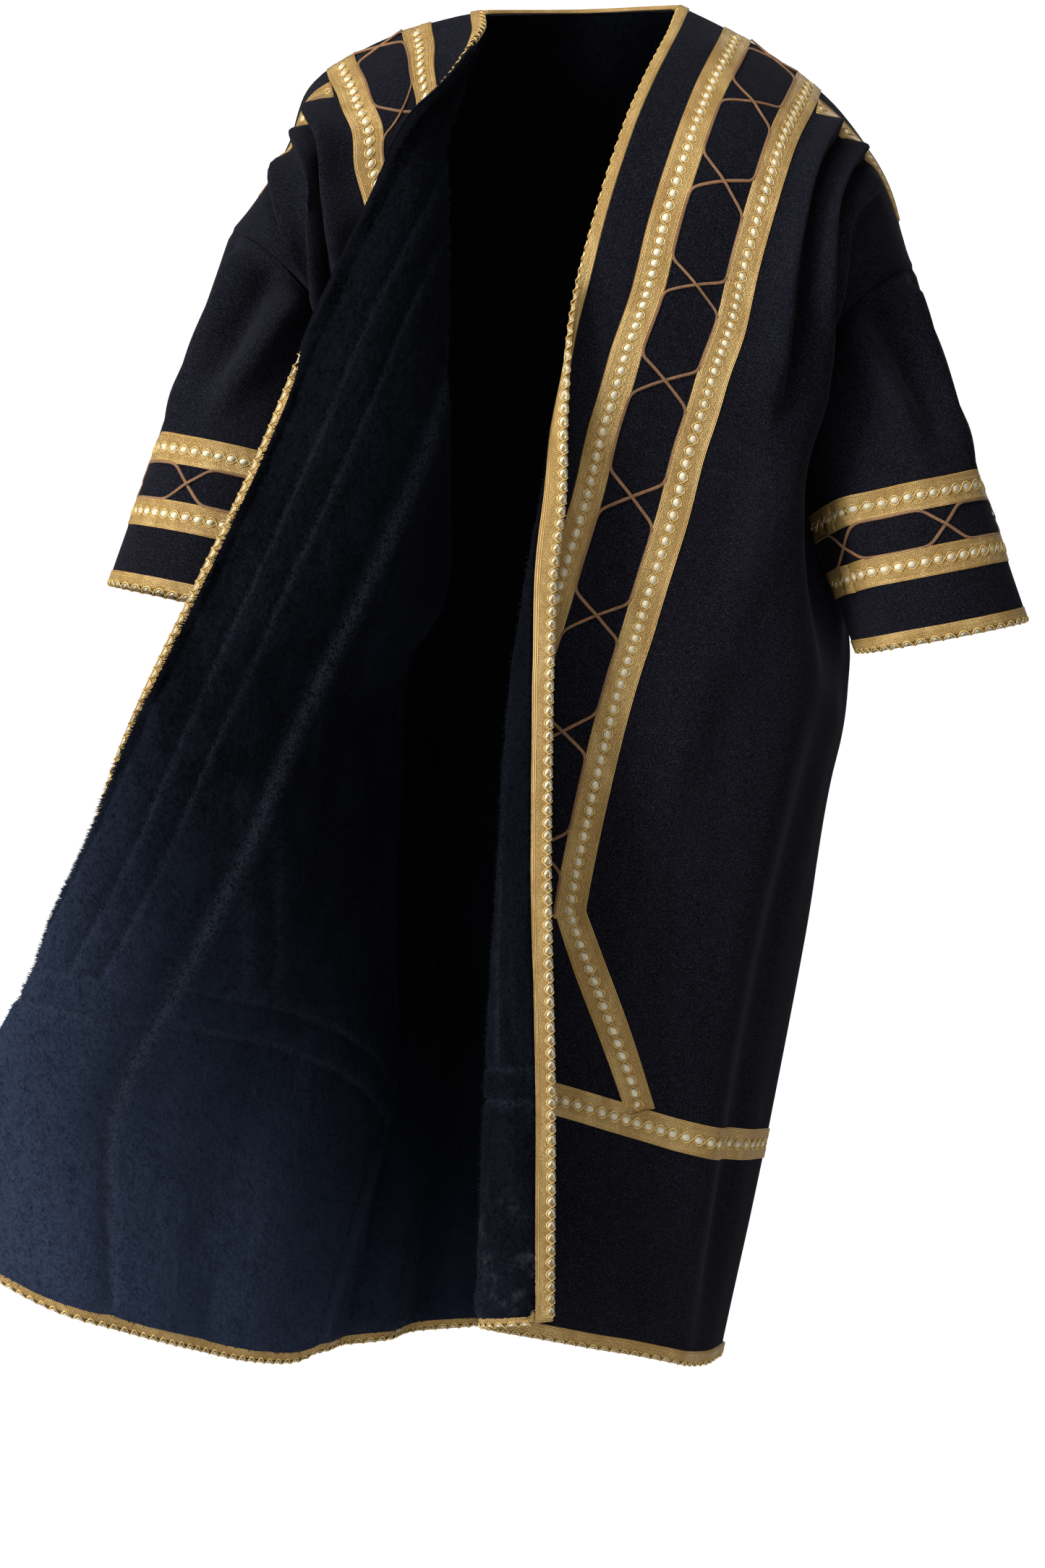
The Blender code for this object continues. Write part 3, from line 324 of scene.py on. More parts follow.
class Panel:
    def __init__(self, name, across, downs, points, facing, closed=False):
        self.name = name
        self.across = np.array(across)
        self.downs = np.array(downs)
        self.points = np.array(points)
        self.facing = facing
        self.closed = closed
        self.aim()

    def steps(self):
        """The way to the next column and to the next row, at each point."""
        p = self.points
        wide = np.roll(p, -1, axis=1) - np.roll(p, 1, axis=1) if self.closed else np.gradient(p, axis=1)
        return wide, np.gradient(p, axis=0)

    def aim(self):
        self.normals = unit(np.cross(*self.steps()) * self.facing)

    def lift(self, height):
        self.points = self.points + self.normals * height[..., None]
        self.aim()

    def cut_places(self):
        """The distance across and down of every grid point."""
        return np.meshgrid(self.across[:self.points.shape[1]], self.downs)

    def read(self, grid, across, down):
        """Values of a grid, one per point, between its rows and columns."""
        columns = self.points.shape[1]
        i = np.clip(np.searchsorted(self.downs, down, side="right") - 1, 0, len(self.downs) - 2)
        j = np.clip(np.searchsorted(self.across, across, side="right") - 1, 0, len(self.across) - 2)
        u = ((across - self.across[j]) / (self.across[j + 1] - self.across[j]))[..., None]
        v = ((down - self.downs[i]) / (self.downs[i + 1] - self.downs[i]))[..., None]
        k = (j + 1) % columns if self.closed else j + 1
        near = grid[i, j] * (1 - u) + grid[i, k] * u
        far = grid[i + 1, j] * (1 - u) + grid[i + 1, k] * u
        return near * (1 - v) + far * v

    def outward(self, across, down):
        return unit(self.read(self.normals, across, down))

    def place(self, across, down, out):
        """Points over the flat cut, carried to the worn cloth and moved out."""
        across, down, out = np.broadcast_arrays(across, down, out)
        return self.read(self.points, across, down) + self.outward(across, down) * out[..., None]


def ring_point(ring, shape, to_front, drop_share):
    middle, outer, front, back = (Vector(v) for v in ring)
    sideways = front if to_front else back
    return middle + outer * shape[0] + sideways * shape[1] - Vector((0, 0, shape[2] * drop_share))


def border_point(side, ring, down, to_front):
    """A panel's outer border: round the armhole first, then down the side seam."""
    if down >= ARMHOLE - 1e-9:
        return side.at(down)[0]
    return ring_point(ring, armhole_shape.at(down)[0], to_front, 1.0)


# %% [markdown]
# ## Folds
# Felted wool is thick, so it hangs in a few broad folds and never in fine creases. Below the
# shoulders the spare width stands in pleats, each round on one side and steep on the other.
# A fold is a ridge or valley with a start, an end, a lean and a reach to either side, listed by
# its place on the cut. The pleats rise soon, just below the shoulder braid. A slow noise over
# all the cloth takes away the last evenness.

# %% Fold tables
# Each fold: its place across, its start and its end down the cut, its lean in millimetres for
# each metre down, its reach to either side, its height, and the length over which it rises, where
# 0 stands for three tenths of the fold
LEFT_FOLDS = metres((
    (206, 34, 460, 0, 22, 6, 19, 30), (217, 34, 420, 0, 5, 8, -11, 30), (253, 30, 460, 20, 22, 6, 18, 30),
    (265, 30, 400, 20, 5, 9, -11, 40), (300, 30, 500, 30, 20, 7, 13, 50),
    (240, 360, 900, -60, 26, 18, 7, 0), (300, 460, 1400, 20, 30, 24, 10, 0),
    (352, 550, 1450, -10, 22, 22, -9, 0), (235, 800, 1450, 30, 28, 28, -7, 0),
))
RIGHT_FOLDS = metres((
    (208, 34, 480, 10, 26, 6, 21, 30), (219, 34, 380, 10, 5, 7, -11, 30),
    (236, 30, 360, 20, 9, 20, 17, 30), (275, 15, 190, 850, 22, 8, 15, 40),
    (290, 15, 180, 850, 6, 10, -8, 40), (250, 750, 1450, 30, 35, 35, 8, 0),
    (110, 900, 1450, 20, 30, 30, -6, 0),
))
# A sleeve's folds: their place round from the seam under the arm, and down from the armhole
SLEEVE_FOLDS = metres((
    (95, -50, 190, 220, 15, 10, 18, 0), (120, -50, 170, 220, 9, 14, -15, 0),
    (165, -60, 240, 100, 22, 11, 17.5, 0), (190, -30, 200, 100, 9, 14, -14, 0),
    (55, 20, 340, 50, 16, 16, 8, 0), (285, -30, 260, -80, 16, 20, 11.2, 0),
    (345, -40, 220, -150, 14, 14, 11.2, 0), (370, -20, 200, -150, 10, 12, -11, 0),
    (425, 20, 340, -50, 18, 18, 8, 0),
))
# Where the worn cloth is pulled a little to one side: place on the cut, reach, and how far
LEFT_PULLS = metres((
    ((300, 40), (70, 120), (7, 0, 7)),
    ((375, 450), (50, 110), (26, 0, 0)),
))
RIGHT_PULLS = metres((
    ((150, 200), (45, 90), (26, -4, 0)),
    ((66, 80), (30, 80), (-8, 0, 0)),
    ((250, 30), (60, 60), (3, 0, -10)),
    ((205, 15), (45, 60), (-5, 0, 1)),
    ((20, 200), (50, 80), (5, 0, -3)),
))
BACK_FLUTES = 5
BACK_FLUTE_HEIGHT = 0.013
BACK_FLUTE_TOP = 0.20
UNEVEN_HEIGHT = 0.0016
UNEVEN_PER_METRE = Vector((17, 17, 6))
UNEVEN_FADE = 0.02
SIDE_FADE = 0.05


def fold_heights(panel, folds, width):
    across, down = panel.cut_places()
    total = np.zeros(across.shape)
    for place, top, end, lean, before, after, height, rise in folds:
        beside = across - place - lean * (down - top)
        shape = bell(beside, np.where(beside < 0, before, after))
        fall = 0.3 * (end - top)
        window = eased((down - top) / (rise or fall)) * eased((end - down) / fall)
        total += height * shape * window
    return total * eased((width - across) / SIDE_FADE)


def pulled(panel, pulls):
    """Moves the cloth sideways round a few places on the cut."""
    across, down = panel.cut_places()
    for (at_across, at_down), (reach_across, reach_down), way in pulls:
        beside, below = (across - at_across) / reach_across, (down - at_down) / reach_down
        share = np.exp(-(beside ** 2) - below ** 2) * eased((FRONT_WIDTH - across) / SIDE_FADE)
        panel.points = panel.points + share[..., None] * np.array(way)
    panel.aim()


def from_seams(panel):
    """How far each grid point is from the nearest seam, across the cloth."""
    across, down = panel.cut_places()
    if panel.closed:
        return down
    if panel is back:
        step = np.linalg.norm(np.diff(panel.points, axis=1), axis=2)
        far = np.pad(np.cumsum(step, axis=1), ((0, 0), (1, 0)))
        return np.minimum(np.minimum(far, far[:, -1:] - far), down + 0.003)
    return np.minimum(FRONT_WIDTH - across, down)


def noise_over(points, per_metre, share, zoom):
    """Noise at every point of a grid, with a share of it at another zoom."""
    spots = [Vector(point) * per_metre for point in points.reshape(-1, 3)]
    heights = [noise.noise(spot) + share * noise.noise(spot * zoom) for spot in spots]
    return np.array(heights).reshape(points.shape[:2])


def unevenness(panel):
    """Slow noise that fades out at the seams, so that neighbours meet there."""
    heights = noise_over(panel.points, UNEVEN_PER_METRE, 0.5, 2.3)
    return heights * UNEVEN_HEIGHT * eased(from_seams(panel) / UNEVEN_FADE)


# %% Rows and columns of the fine grids
ROW_STEP = 0.0085
COLUMN_STEP = 0.0075
EDGE_STEPS = (0.002, 0.0045, 0.008, 0.012, 0.0155)
STITCHES_ACROSS = (INNER_BAND, INNER_BAND + BRAID_WIDTH, FUZZY_SEAM)
STITCHES_DOWN = (HEM_BAND, HEM_BAND + BRAID_WIDTH)
PLEATS_FROM, PLEATS_TO, PLEAT_STEP = 0.192, 0.318, 0.0035
BESIDE_STITCH = (-0.005, -0.0025, 0.0, 0.0025, 0.005)


def spread(low, high, step, extras):
    """Evenly spaced places with closer ones where there is detail, and none too near another."""
    even = list(np.linspace(low, high, round((high - low) / step) + 1))
    keep = sorted({round(float(v), 6) for v in extras if low < v < high})
    for place in even[1:-1]:
        if all(abs(place - other) > 0.3 * step for other in keep):
            keep.append(float(place))
    return [low] + sorted(keep) + [high]


armhole_rows = spread(0.0, ARMHOLE, ROW_STEP, (0.003, 0.006))
skirt_rows = spread(
    ARMHOLE, LENGTH, ROW_STEP,
    [s + b for s in STITCHES_DOWN for b in BESIDE_STITCH] + [LENGTH - e for e in EDGE_STEPS],
)
FINE_ROWS = armhole_rows + skirt_rows[1:]
FINE_COLUMNS = spread(
    0.0, FRONT_WIDTH, COLUMN_STEP,
    [s + b for s in STITCHES_ACROSS for b in BESIDE_STITCH] + list(EDGE_STEPS) + [FRONT_WIDTH - 0.003]
    + list(np.arange(PLEATS_FROM, PLEATS_TO, PLEAT_STEP)),
)
print("grid of a front:", len(FINE_COLUMNS), "columns by", len(FINE_ROWS), "rows")

# %% The two fronts
# From the front edge to here, past both rows of braid, the cloth keeps its true width
KEPT_WIDTH = 0.167


def front_panel(name, sections, side, ring, folds, pulls, facing):
    columns = np.array(FINE_COLUMNS)
    points = []
    for down in FINE_ROWS:
        curve = dense_curve(sections.at(down) + [border_point(side, ring, down, True)])
        stretch = (curve[1][-1] - KEPT_WIDTH) / (FRONT_WIDTH - KEPT_WIDTH)
        places = np.where(columns > KEPT_WIDTH, KEPT_WIDTH + (columns - KEPT_WIDTH) * stretch, columns)
        points.append(along(curve, places))
    panel = Panel(name, columns, FINE_ROWS, points, facing)
    pulled(panel, pulls)
    panel.lift(fold_heights(panel, folds, FRONT_WIDTH))
    return panel


front_left = front_panel(
    "front_left", Sections(LEFT_FRONT), left_side, LEFT_SLEEVE[0], LEFT_FOLDS, LEFT_PULLS, -1,
)
front_right = front_panel(
    "front_right", Sections(RIGHT_FRONT), right_side, RIGHT_SLEEVE[0], RIGHT_FOLDS, RIGHT_PULLS, 1,
)
print("hem of the left front, in metres:", round(float(lengths(front_left.points[-1])[-1]), 3))

# %% The back
NECK_COLUMNS = 26
SHOULDER_STEP = 2
BLEND_DOWN = 0.06
EVEN_DOWN = 0.35
FLUTE_FADE = 0.12


def back_panel(right, left):
    count = len(FINE_COLUMNS)
    picked = list(range(0, count - 1, SHOULDER_STEP)) + [count - 1]
    right_top = right.points[0][picked[::-1]]
    left_top = left.points[0][picked]
    neck = dense_curve([Vector(right_top[-1]), Vector(BACK[0][4]), Vector(left_top[0])], 30)
    neck_points = along(neck, neck[1][-1] * np.arange(1, NECK_COLUMNS) / NECK_COLUMNS)
    top = np.concatenate([right_top, neck_points, left_top])
    top_share = lengths(top) / lengths(top)[-1]
    even_share = np.linspace(0.0, 1.0, len(top))

    def ends(down):
        seams = ((right_side, RIGHT_SLEEVE[0]), (left_side, LEFT_SLEEVE[0]))
        return [border_point(side, ring, down, False) for side, ring in seams]

    def row(down):
        first, last = ends(down)
        curve = dense_curve([first] + back_sections.at(down) + [last])
        share = top_share + (even_share - top_share) * eased(down / EVEN_DOWN)
        return along(curve, curve[1][-1] * share)

    first = row(0.0)
    points = [top]
    for down in FINE_ROWS[1:]:
        here = row(down) + (top - first) * max(1 - down / BLEND_DOWN, 0.0) ** 2
        here[0], here[-1] = ends(down)
        points.append(here)
    panel = Panel("back", even_share, FINE_ROWS, points, 1)
    share, down = panel.cut_places()
    window = eased((down - BACK_FLUTE_TOP) / 0.7)
    window = window * eased(share / FLUTE_FADE) * eased((1 - share) / FLUTE_FADE)
    panel.lift(BACK_FLUTE_HEIGHT * window * np.sin(2 * math.pi * BACK_FLUTES * share))
    return panel


back = back_panel(front_right, front_left)
print("grid of the back:", back.points.shape[1], "columns by", back.points.shape[0], "rows")

# %% The sleeves
SLEEVE_STEP = 0.007


def sleeve_panel(name, rings, facing):
    """A tube from the armhole to the cuff. Its first column is at the seam under the arm."""
    stations = [(down, True) for down in reversed(armhole_rows)]
    stations += [(down, False) for down in armhole_rows[1:-1]]
    upper = UPPER_SLEEVE_BAND + SLEEVE_BAND_WIDTH
    band_edges = (LOWER_SLEEVE_BAND, LOWER_SLEEVE_BAND + SLEEVE_BAND_WIDTH, UPPER_SLEEVE_BAND, upper)
    from_cuff = np.array(spread(0.0, SLEEVE_LENGTH, SLEEVE_STEP, EDGE_STEPS + band_edges))[::-1]
    points = np.zeros((len(from_cuff), len(stations), 3))
    for j, (down, to_front) in enumerate(stations):
        shape = armhole_shape.at(down)[0]
        start = ring_point(rings[0], shape, to_front, 1.0)
        end = ring_point(rings[1], shape, to_front, 0.0)
        length = (end - start).length
        stretched = upper + (from_cuff - upper) * (length - upper) / (SLEEVE_LENGTH - upper)
        distance = np.where(from_cuff > upper, stretched, from_cuff)
        points[:, j] = np.array(end) + np.outer(distance / length, np.array(start - end))
    places = [down for down, _ in stations]
    around = np.cumsum(np.abs(np.diff([places[0]] + places + [places[0]])))
    panel = Panel(
        name, SLEEVE_GIRTH * around / around[-1], SLEEVE_LENGTH - from_cuff, points, facing, closed=True,
    )
    place, down = panel.cut_places()
    heights = fold_heights(panel, SLEEVE_FOLDS, SLEEVE_GIRTH) * eased(place / 0.04)
    panel.lift(heights * eased(down / 0.03))
    return panel


sleeve_left = sleeve_panel("sleeve_left", LEFT_SLEEVE, -1)
sleeve_right = sleeve_panel("sleeve_right", RIGHT_SLEEVE, 1)
panels = (back, front_left, front_right, sleeve_left, sleeve_right)
for panel in panels:
    panel.lift(unevenness(panel))
print("points in all the grids:", sum(panel.points.shape[0] * panel.points.shape[1] for panel in panels))

# %% [markdown]
# ## Seams
# Two panels meet in a seam, which shows as a shallow groove. Along the borders the panels
# share one outward direction, and the last few millimetres dip towards the seam. Under the arm
# the sleeve and the body face each other, so there each one keeps its own direction.

# %% Join the borders
SEAM_DIP = 0.0018
SEAM_REACH = 0.008
HOLLOW_SEAM = 0.10


def share_directions():
    meeting = {}
    for panel in panels:
        rows, columns = panel.points.shape[:2]
        for i, j in np.ndindex(rows, columns):
            step_i = (i == 0) - (i == rows - 1)
            step_j = 0 if panel.closed else (j == 0) - (j == columns - 1)
            if not (step_i or step_j) or (panel.closed and i):
                continue
            inward = Vector(panel.points[i + step_i, j + step_j] - panel.points[i, j]).normalized()
            key = tuple(round(float(v), 3) for v in panel.points[i, j])
            meeting.setdefault(key, []).append((panel, i, j, inward))
    groups = [group for group in meeting.values() if len(group) > 1]
    for group in groups:
        facing = [Vector(panel.normals[i, j]) for panel, i, j, _ in group]
        inwards = sum((inward for *_, inward in group), Vector())
        hollow = sum(facing, Vector()).dot(inwards) > HOLLOW_SEAM * len(group)
        for panel, i, j, _ in group:
            alike = [w for w, other in zip(facing, group) if not hollow or other[0].closed == panel.closed]
            panel.normals[i, j] = sum(alike, Vector()).normalized()
    return len(groups)


print("border points that meet another panel:", share_directions())


def seam_dip(panel):
    return SEAM_DIP * (1 - eased(from_seams(panel) / SEAM_REACH))


# %% [markdown]
# ## From grids to cloth
# Each layer is a closed shell: a grid on its outer side, one on its inner side, and a strip
# round the rim. The plush is pinched where the braid is sewn round the edge and where a seam
# comes through from the other side, and its nap stands between.

# %% Build a shell
pieces = {}


def new_piece(name, vertices, faces, materials, face_materials=None, uv=None):
    mesh = bpy.data.meshes.new(name)
    mesh.from_pydata([tuple(v) for v in vertices], [], [tuple(f) for f in faces])
    for material in materials:
        mesh.materials.append(material)
    if face_materials is not None:
        mesh.polygons.foreach_set("material_index", face_materials)
    if uv is not None:
        layer = mesh.uv_layers.new(name="UVMap")
        loops = np.zeros(len(mesh.loops), dtype=np.int32)
        mesh.loops.foreach_get("vertex_index", loops)
        layer.data.foreach_set("uv", np.asarray(uv, dtype=np.float32)[loops].ravel())
    mesh.shade_smooth()
    thing = add_object(name, mesh)
    pieces[name] = thing
    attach(thing, "root")
    return thing


def shell(name, panel, outer, inner, material, shift=0.0):
    """A closed layer of cloth between two depths below the panel's outer face."""
    rows, columns = panel.points.shape[:2]
    sides = [panel.points - panel.normals * depth[..., None] + shift for depth in (outer, inner)]
    vertices = np.array(sides).reshape(-1, 3)
    index = np.arange(rows * columns).reshape(rows, columns)
    if panel.closed:
        index = np.concatenate([index, index[:, :1]], axis=1)
    corners = index[:-1, :-1], index[:-1, 1:], index[1:, 1:], index[1:, :-1]
    faces = np.stack(corners, axis=-1).reshape(-1, 4)
    rims = [index[0][::-1], index[-1]]
    if not panel.closed:
        rims += [index[:, 0], index[:, -1][::-1]]
    under = rows * columns
    walls = [np.stack([rim[:-1], rim[1:], rim[1:] + under, rim[:-1] + under], axis=-1) for rim in rims]
    faces = np.concatenate([faces[:, ::-1], faces + under] + walls)
    if panel.facing > 0:
        faces = faces[:, ::-1]
    return new_piece(name, vertices, faces.tolist(), [material])


# %% [markdown]
# ## Materials
# Four cloths make the robe. Felted wool is matt and slightly heathered, so its colour is mixed
# from two near blacks by fine noise. Plush drinks light head on and glows at a low angle. Its
# nap is crushed in patches that look lighter or darker. The braid is woven with gilt thread, and
# the cord is silky brown. A group of nodes gives all of them their fibres.

# %% Helpers for nodes


def node(tree, kind, values=None, **settings):
    made = tree.nodes.new(kind)
    for key, value in settings.items():
        setattr(made, key, value)
    for key, value in (values or {}).items():
        if isinstance(value, bpy.types.NodeSocket):
            tree.links.new(value, made.inputs[key])
        else:
            made.inputs[key].default_value = value
    return made


def maths(operation, *values):
    """A maths node, in the tree that its values come from."""
    tree = next(value.id_data for value in values if isinstance(value, bpy.types.NodeSocket))
    return node(tree, "ShaderNodeMath", dict(enumerate(values)), operation=operation).outputs[0]


def product(a, b):
    return maths("MULTIPLY", a, b)


def line(value, slope, start):
    return maths("MULTIPLY_ADD", value, slope, start)


def wave(value, pitch):
    return maths("SINE", product(value, 2 * math.pi / pitch))


def mixed_colour(share, low, high):
    return node(share.id_data, "ShaderNodeMix", {0: share, 6: low, 7: high}, data_type="RGBA").outputs[2]


def ramp(value, low, high):
    """0 below low and 1 above high, with a soft step between."""
    values = {"Value": value, "From Min": low, "From Max": high}
    made = node(value.id_data, "ShaderNodeMapRange", values, interpolation_type="SMOOTHSTEP")
    return made.outputs["Result"]


def place_on(tree, kind="Object"):
    return node(tree, "ShaderNodeTexCoord").outputs[kind]


def split(spot):
    return node(spot.id_data, "ShaderNodeSeparateXYZ", {"Vector": spot}).outputs


def noise_on(spot, scale, detail, roughness, distortion=0.0):
    keys = ("Vector", "Scale", "Detail", "Roughness", "Distortion")
    values = dict(zip(keys, (spot, scale, detail, roughness, distortion)))
    return node(spot.id_data, "ShaderNodeTexNoise", values).outputs["Fac"]


# %% Fibres: two colours mixed by fine noise, with patches and a height
GROUP_INPUTS = ("Dark", "Light", "Fine", "Patch", "Patch strength")


def fibre_group():
    tree = bpy.data.node_groups.new("fibres", "ShaderNodeTree")
    sockets = {"INPUT": GROUP_INPUTS, "OUTPUT": ("Colour", "Height", "Patches")}
    for direction, keys in sockets.items():
        for key in keys:
            kind = "NodeSocketColor" if key in ("Dark", "Light", "Colour") else "NodeSocketFloat"
            tree.interface.new_socket(key, in_out=direction, socket_type=kind)
    given = tree.nodes.new("NodeGroupInput").outputs
    spot = place_on(tree)
    fine = noise_on(spot, given["Fine"], 3.0, 0.7)
    stretched = node(tree, "ShaderNodeMapping", {"Vector": spot, "Scale": (1.0, 1.0, 0.35)}).outputs[0]
    patches = ramp(noise_on(stretched, given["Patch"], 4.0, 0.6, 0.6), 0.38, 0.66)
    rest = maths("SUBTRACT", 1.0, given["Patch strength"])
    share = line(ramp(fine, 0.45, 0.76), rest, product(patches, given["Patch strength"]))
    colour = mixed_colour(share, given["Dark"], given["Light"])
    node(tree, "NodeGroupOutput", {"Colour": colour, "Height": fine, "Patches": patches})
    return tree


FIBRES = fibre_group()


def fabric(name, **settings):
    """A material with its shader set, and the tree to add the rest to."""
    material = bpy.data.materials.new(name)
    material.use_nodes = True
    shader = material.node_tree.nodes["Principled BSDF"]
    for key, value in settings.items():
        shader.inputs[key.replace("_", " ")].default_value = value
    return material, material.node_tree, shader


def fibres(tree, dark, light, fine, patch, strength):
    """What the group of fibres puts out for one cloth."""
    values = dict(zip(GROUP_INPUTS, ((*dark, 1), (*light, 1), fine, patch, strength)))
    return node(tree, "ShaderNodeGroup", values, node_tree=FIBRES).outputs


def dress(shader, colour, height, distance, strength=1.0):
    """Gives a shader its colour and its bumps."""
    tree = shader.id_data
    tree.links.new(colour, shader.inputs["Base Color"])
    made = node(tree, "ShaderNodeBump", {"Height": height, "Distance": distance, "Strength": strength})
    tree.links.new(made.outputs["Normal"], shader.inputs["Normal"])


# %% Felted wool and plush
wool, tree, shader = fabric(
    "charcoal_wool", Roughness=0.95, Specular_IOR_Level=0.04,
    Sheen_Weight=0.022, Sheen_Roughness=0.45, Sheen_Tint=(0.85, 0.88, 1.0, 1),
)
felt = fibres(tree, (0.0012, 0.0012, 0.0024), (0.026, 0.026, 0.038), 1050.0, 9.0, 0.05)
dress(shader, felt["Colour"], felt["Height"], 0.0005, 0.45)

plush, tree, shader = fabric(
    "black_plush", Roughness=0.85, Specular_IOR_Level=0.05,
    Sheen_Weight=0.018, Sheen_Roughness=0.30, Sheen_Tint=(0.50, 0.66, 1.0, 1),
)
nap = fibres(tree, (0.0004, 0.0006, 0.0016), (0.0040, 0.0054, 0.0105), 420.0, 30.0, 0.35)
spot = place_on(tree)
x, y, z = split(spot)
below = product(z, -1.0)
low_down = line(x, -1.6, below)
speckle = ramp(nap["Height"], 0.35, 0.62)
# Near the shoulders the nap is darker, its seam highlights too: painted shade, a near black mixed into the
# nap's colour
below_top_shade = ramp(low_down, 0.40, 1.15)
nap_with_top_shade = mixed_colour(below_top_shade, (0.0007, 0.0010, 0.0024, 1), nap["Colour"])
# Towards the lower left a pale bluish haze is mixed in, speckled by the fibres: a painted glow of light on
# the nap
painted_haze = product(ramp(low_down, 1.20, 2.15), line(speckle, 0.4, 0.8))
nap_with_haze = mixed_colour(product(painted_haze, 0.80), nap_with_top_shade, (0.022, 0.032, 0.060, 1))
# Along the stitching a painted highlight lightens the nap; the stitching attribute gives its strength
seam_highlight_mark = node(tree, "ShaderNodeAttribute", attribute_name="stitching").outputs["Fac"]
seam_highlight = product(product(seam_highlight_mark, line(speckle, 0.45, 0.12)), line(below_top_shade, 0.65, 0.35))
nap_with_seam_highlights = mixed_colour(seam_highlight, nap_with_haze, (0.036, 0.044, 0.066, 1))
# The turned-back left edge was crushed against the ground; low down its crushed nap has pale marks, which
# are painted highlights
low_edge = product(ramp(y, -0.10, -0.14), ramp(below, 1.10, 1.22))
edge_highlight_spots = product(low_edge, ramp(noise_on(spot, 34.0, 5.0, 0.7), 0.50, 0.72))
beside_edge = product(edge_highlight_spots, ramp(x, -0.112, -0.080))
nap_with_edge_highlights = mixed_colour(product(beside_edge, 0.42), nap_with_seam_highlights, (0.048, 0.052, 0.062, 1))
pile_height = line(nap["Patches"], 0.35, noise_on(spot, 190.0, 3.0, 0.65))
dress(shader, nap_with_edge_highlights, pile_height, 0.003, 0.8)
print("cloths ready")

# %% [markdown]
# ## Gilt braid and cord
# The braid's ground is a fine zigzag weave between two corded selvedges. Its pattern follows the
# strip, so it reads the strip's own UV map, where U runs along the braid and V across it, both
# in metres. The raised chain and the pale dots are modelled, and have a plainer finish.

# %% Braid and cord
ZIGZAG_PITCH = 0.0019
ZIGZAG_ROW = 0.0022
SELVEDGE = 0.0112
SELVEDGE_PITCH = 0.0014
RIB_PITCH = 0.0011

braid_ground, tree, shader = fabric("gold_braid", Roughness=0.42, Metallic=0.22)
u, v, _ = split(place_on(tree, "UV"))
thread = fibres(tree, (0.42, 0.245, 0.060), (0.98, 0.72, 0.30), 1200.0, 40.0, 0.35)
wander = line(thread["Height"], 0.0022, maths("PINGPONG", v, ZIGZAG_ROW))
at_side = ramp(maths("ABSOLUTE", v), SELVEDGE - 0.0004, SELVEDGE + 0.0004)
values = {"Factor": at_side, "A": wave(maths("ADD", u, wander), ZIGZAG_PITCH), "B": wave(v, SELVEDGE_PITCH)}
weave = node(tree, "ShaderNodeMix", values).outputs["Result"]
# The weave's low threads and gaps are darkened to a deep brown: painted shade in the hollows of the weave
weave_with_painted_shade = mixed_colour(ramp(weave, -0.9, 0.5), (0.17, 0.090, 0.018, 1), thread["Colour"])
dress(shader, weave_with_painted_shade, line(thread["Height"], 1.4, weave), 0.00035, 0.8)


def plain_thread(name, roughness, metallic, *look):
    material, tree, shader = fabric(name, Roughness=roughness, Metallic=metallic)
    thread = fibres(tree, *look)
    dress(shader, thread["Colour"], thread["Height"], 0.0003)
    return material


gold_chain = plain_thread(
    "gilt_chain", 0.36, 0.25, (0.55, 0.35, 0.09), (0.95, 0.72, 0.30), 1400.0, 60.0, 0.2,
)
pale_dots = plain_thread(
    "silver_dots", 0.50, 0.10, (0.50, 0.43, 0.28), (0.82, 0.75, 0.56), 1400.0, 35.0, 0.45,
)
brown_cord, tree, shader = fabric(
    "brown_cord", Roughness=0.55, Sheen_Weight=0.2, Sheen_Roughness=0.4, Sheen_Tint=(1.0, 0.8, 0.6, 1),
)
u, v, _ = split(place_on(tree, "UV"))
silk = fibres(tree, (0.13, 0.055, 0.018), (0.36, 0.17, 0.062), 1300.0, 50.0, 0.3)
dress(shader, silk["Colour"], wave(maths("ADD", u, maths("ABSOLUTE", v)), RIB_PITCH), 0.0002, 0.7)
print("braid and cord ready")

# %% [markdown]
# ## Wool and plush layers
# The wool is an even layer. The plush behind it is thicker, and its inner face is where the
# stitching shows: two lines down the open front where the inner braid is sewn on, a wide fuzzy
# seam further in, and pairs across it behind the slanting and the level braids.

# %% Depths of the plush's inner face
EDGE_WALL = 0.0040
PINCH_REACH = 0.024
STITCH_DEPTH = 0.0030
STITCH_HALF = 0.0032
FUZZY_TOP = 0.40
FUZZY_DEPTH = 0.0034
FUZZY_HALF = 0.0075
NAP_HEIGHT = 0.0009
NAP_PER_METRE = Vector((75, 75, 55))


def edge_distance(panel):
    """Distance to the nearest bound edge."""
    across, down = panel.cut_places()
    if panel.closed:
        return SLEEVE_LENGTH - down
    if panel is back:
        return LENGTH - down
    return np.minimum(across, LENGTH - down)


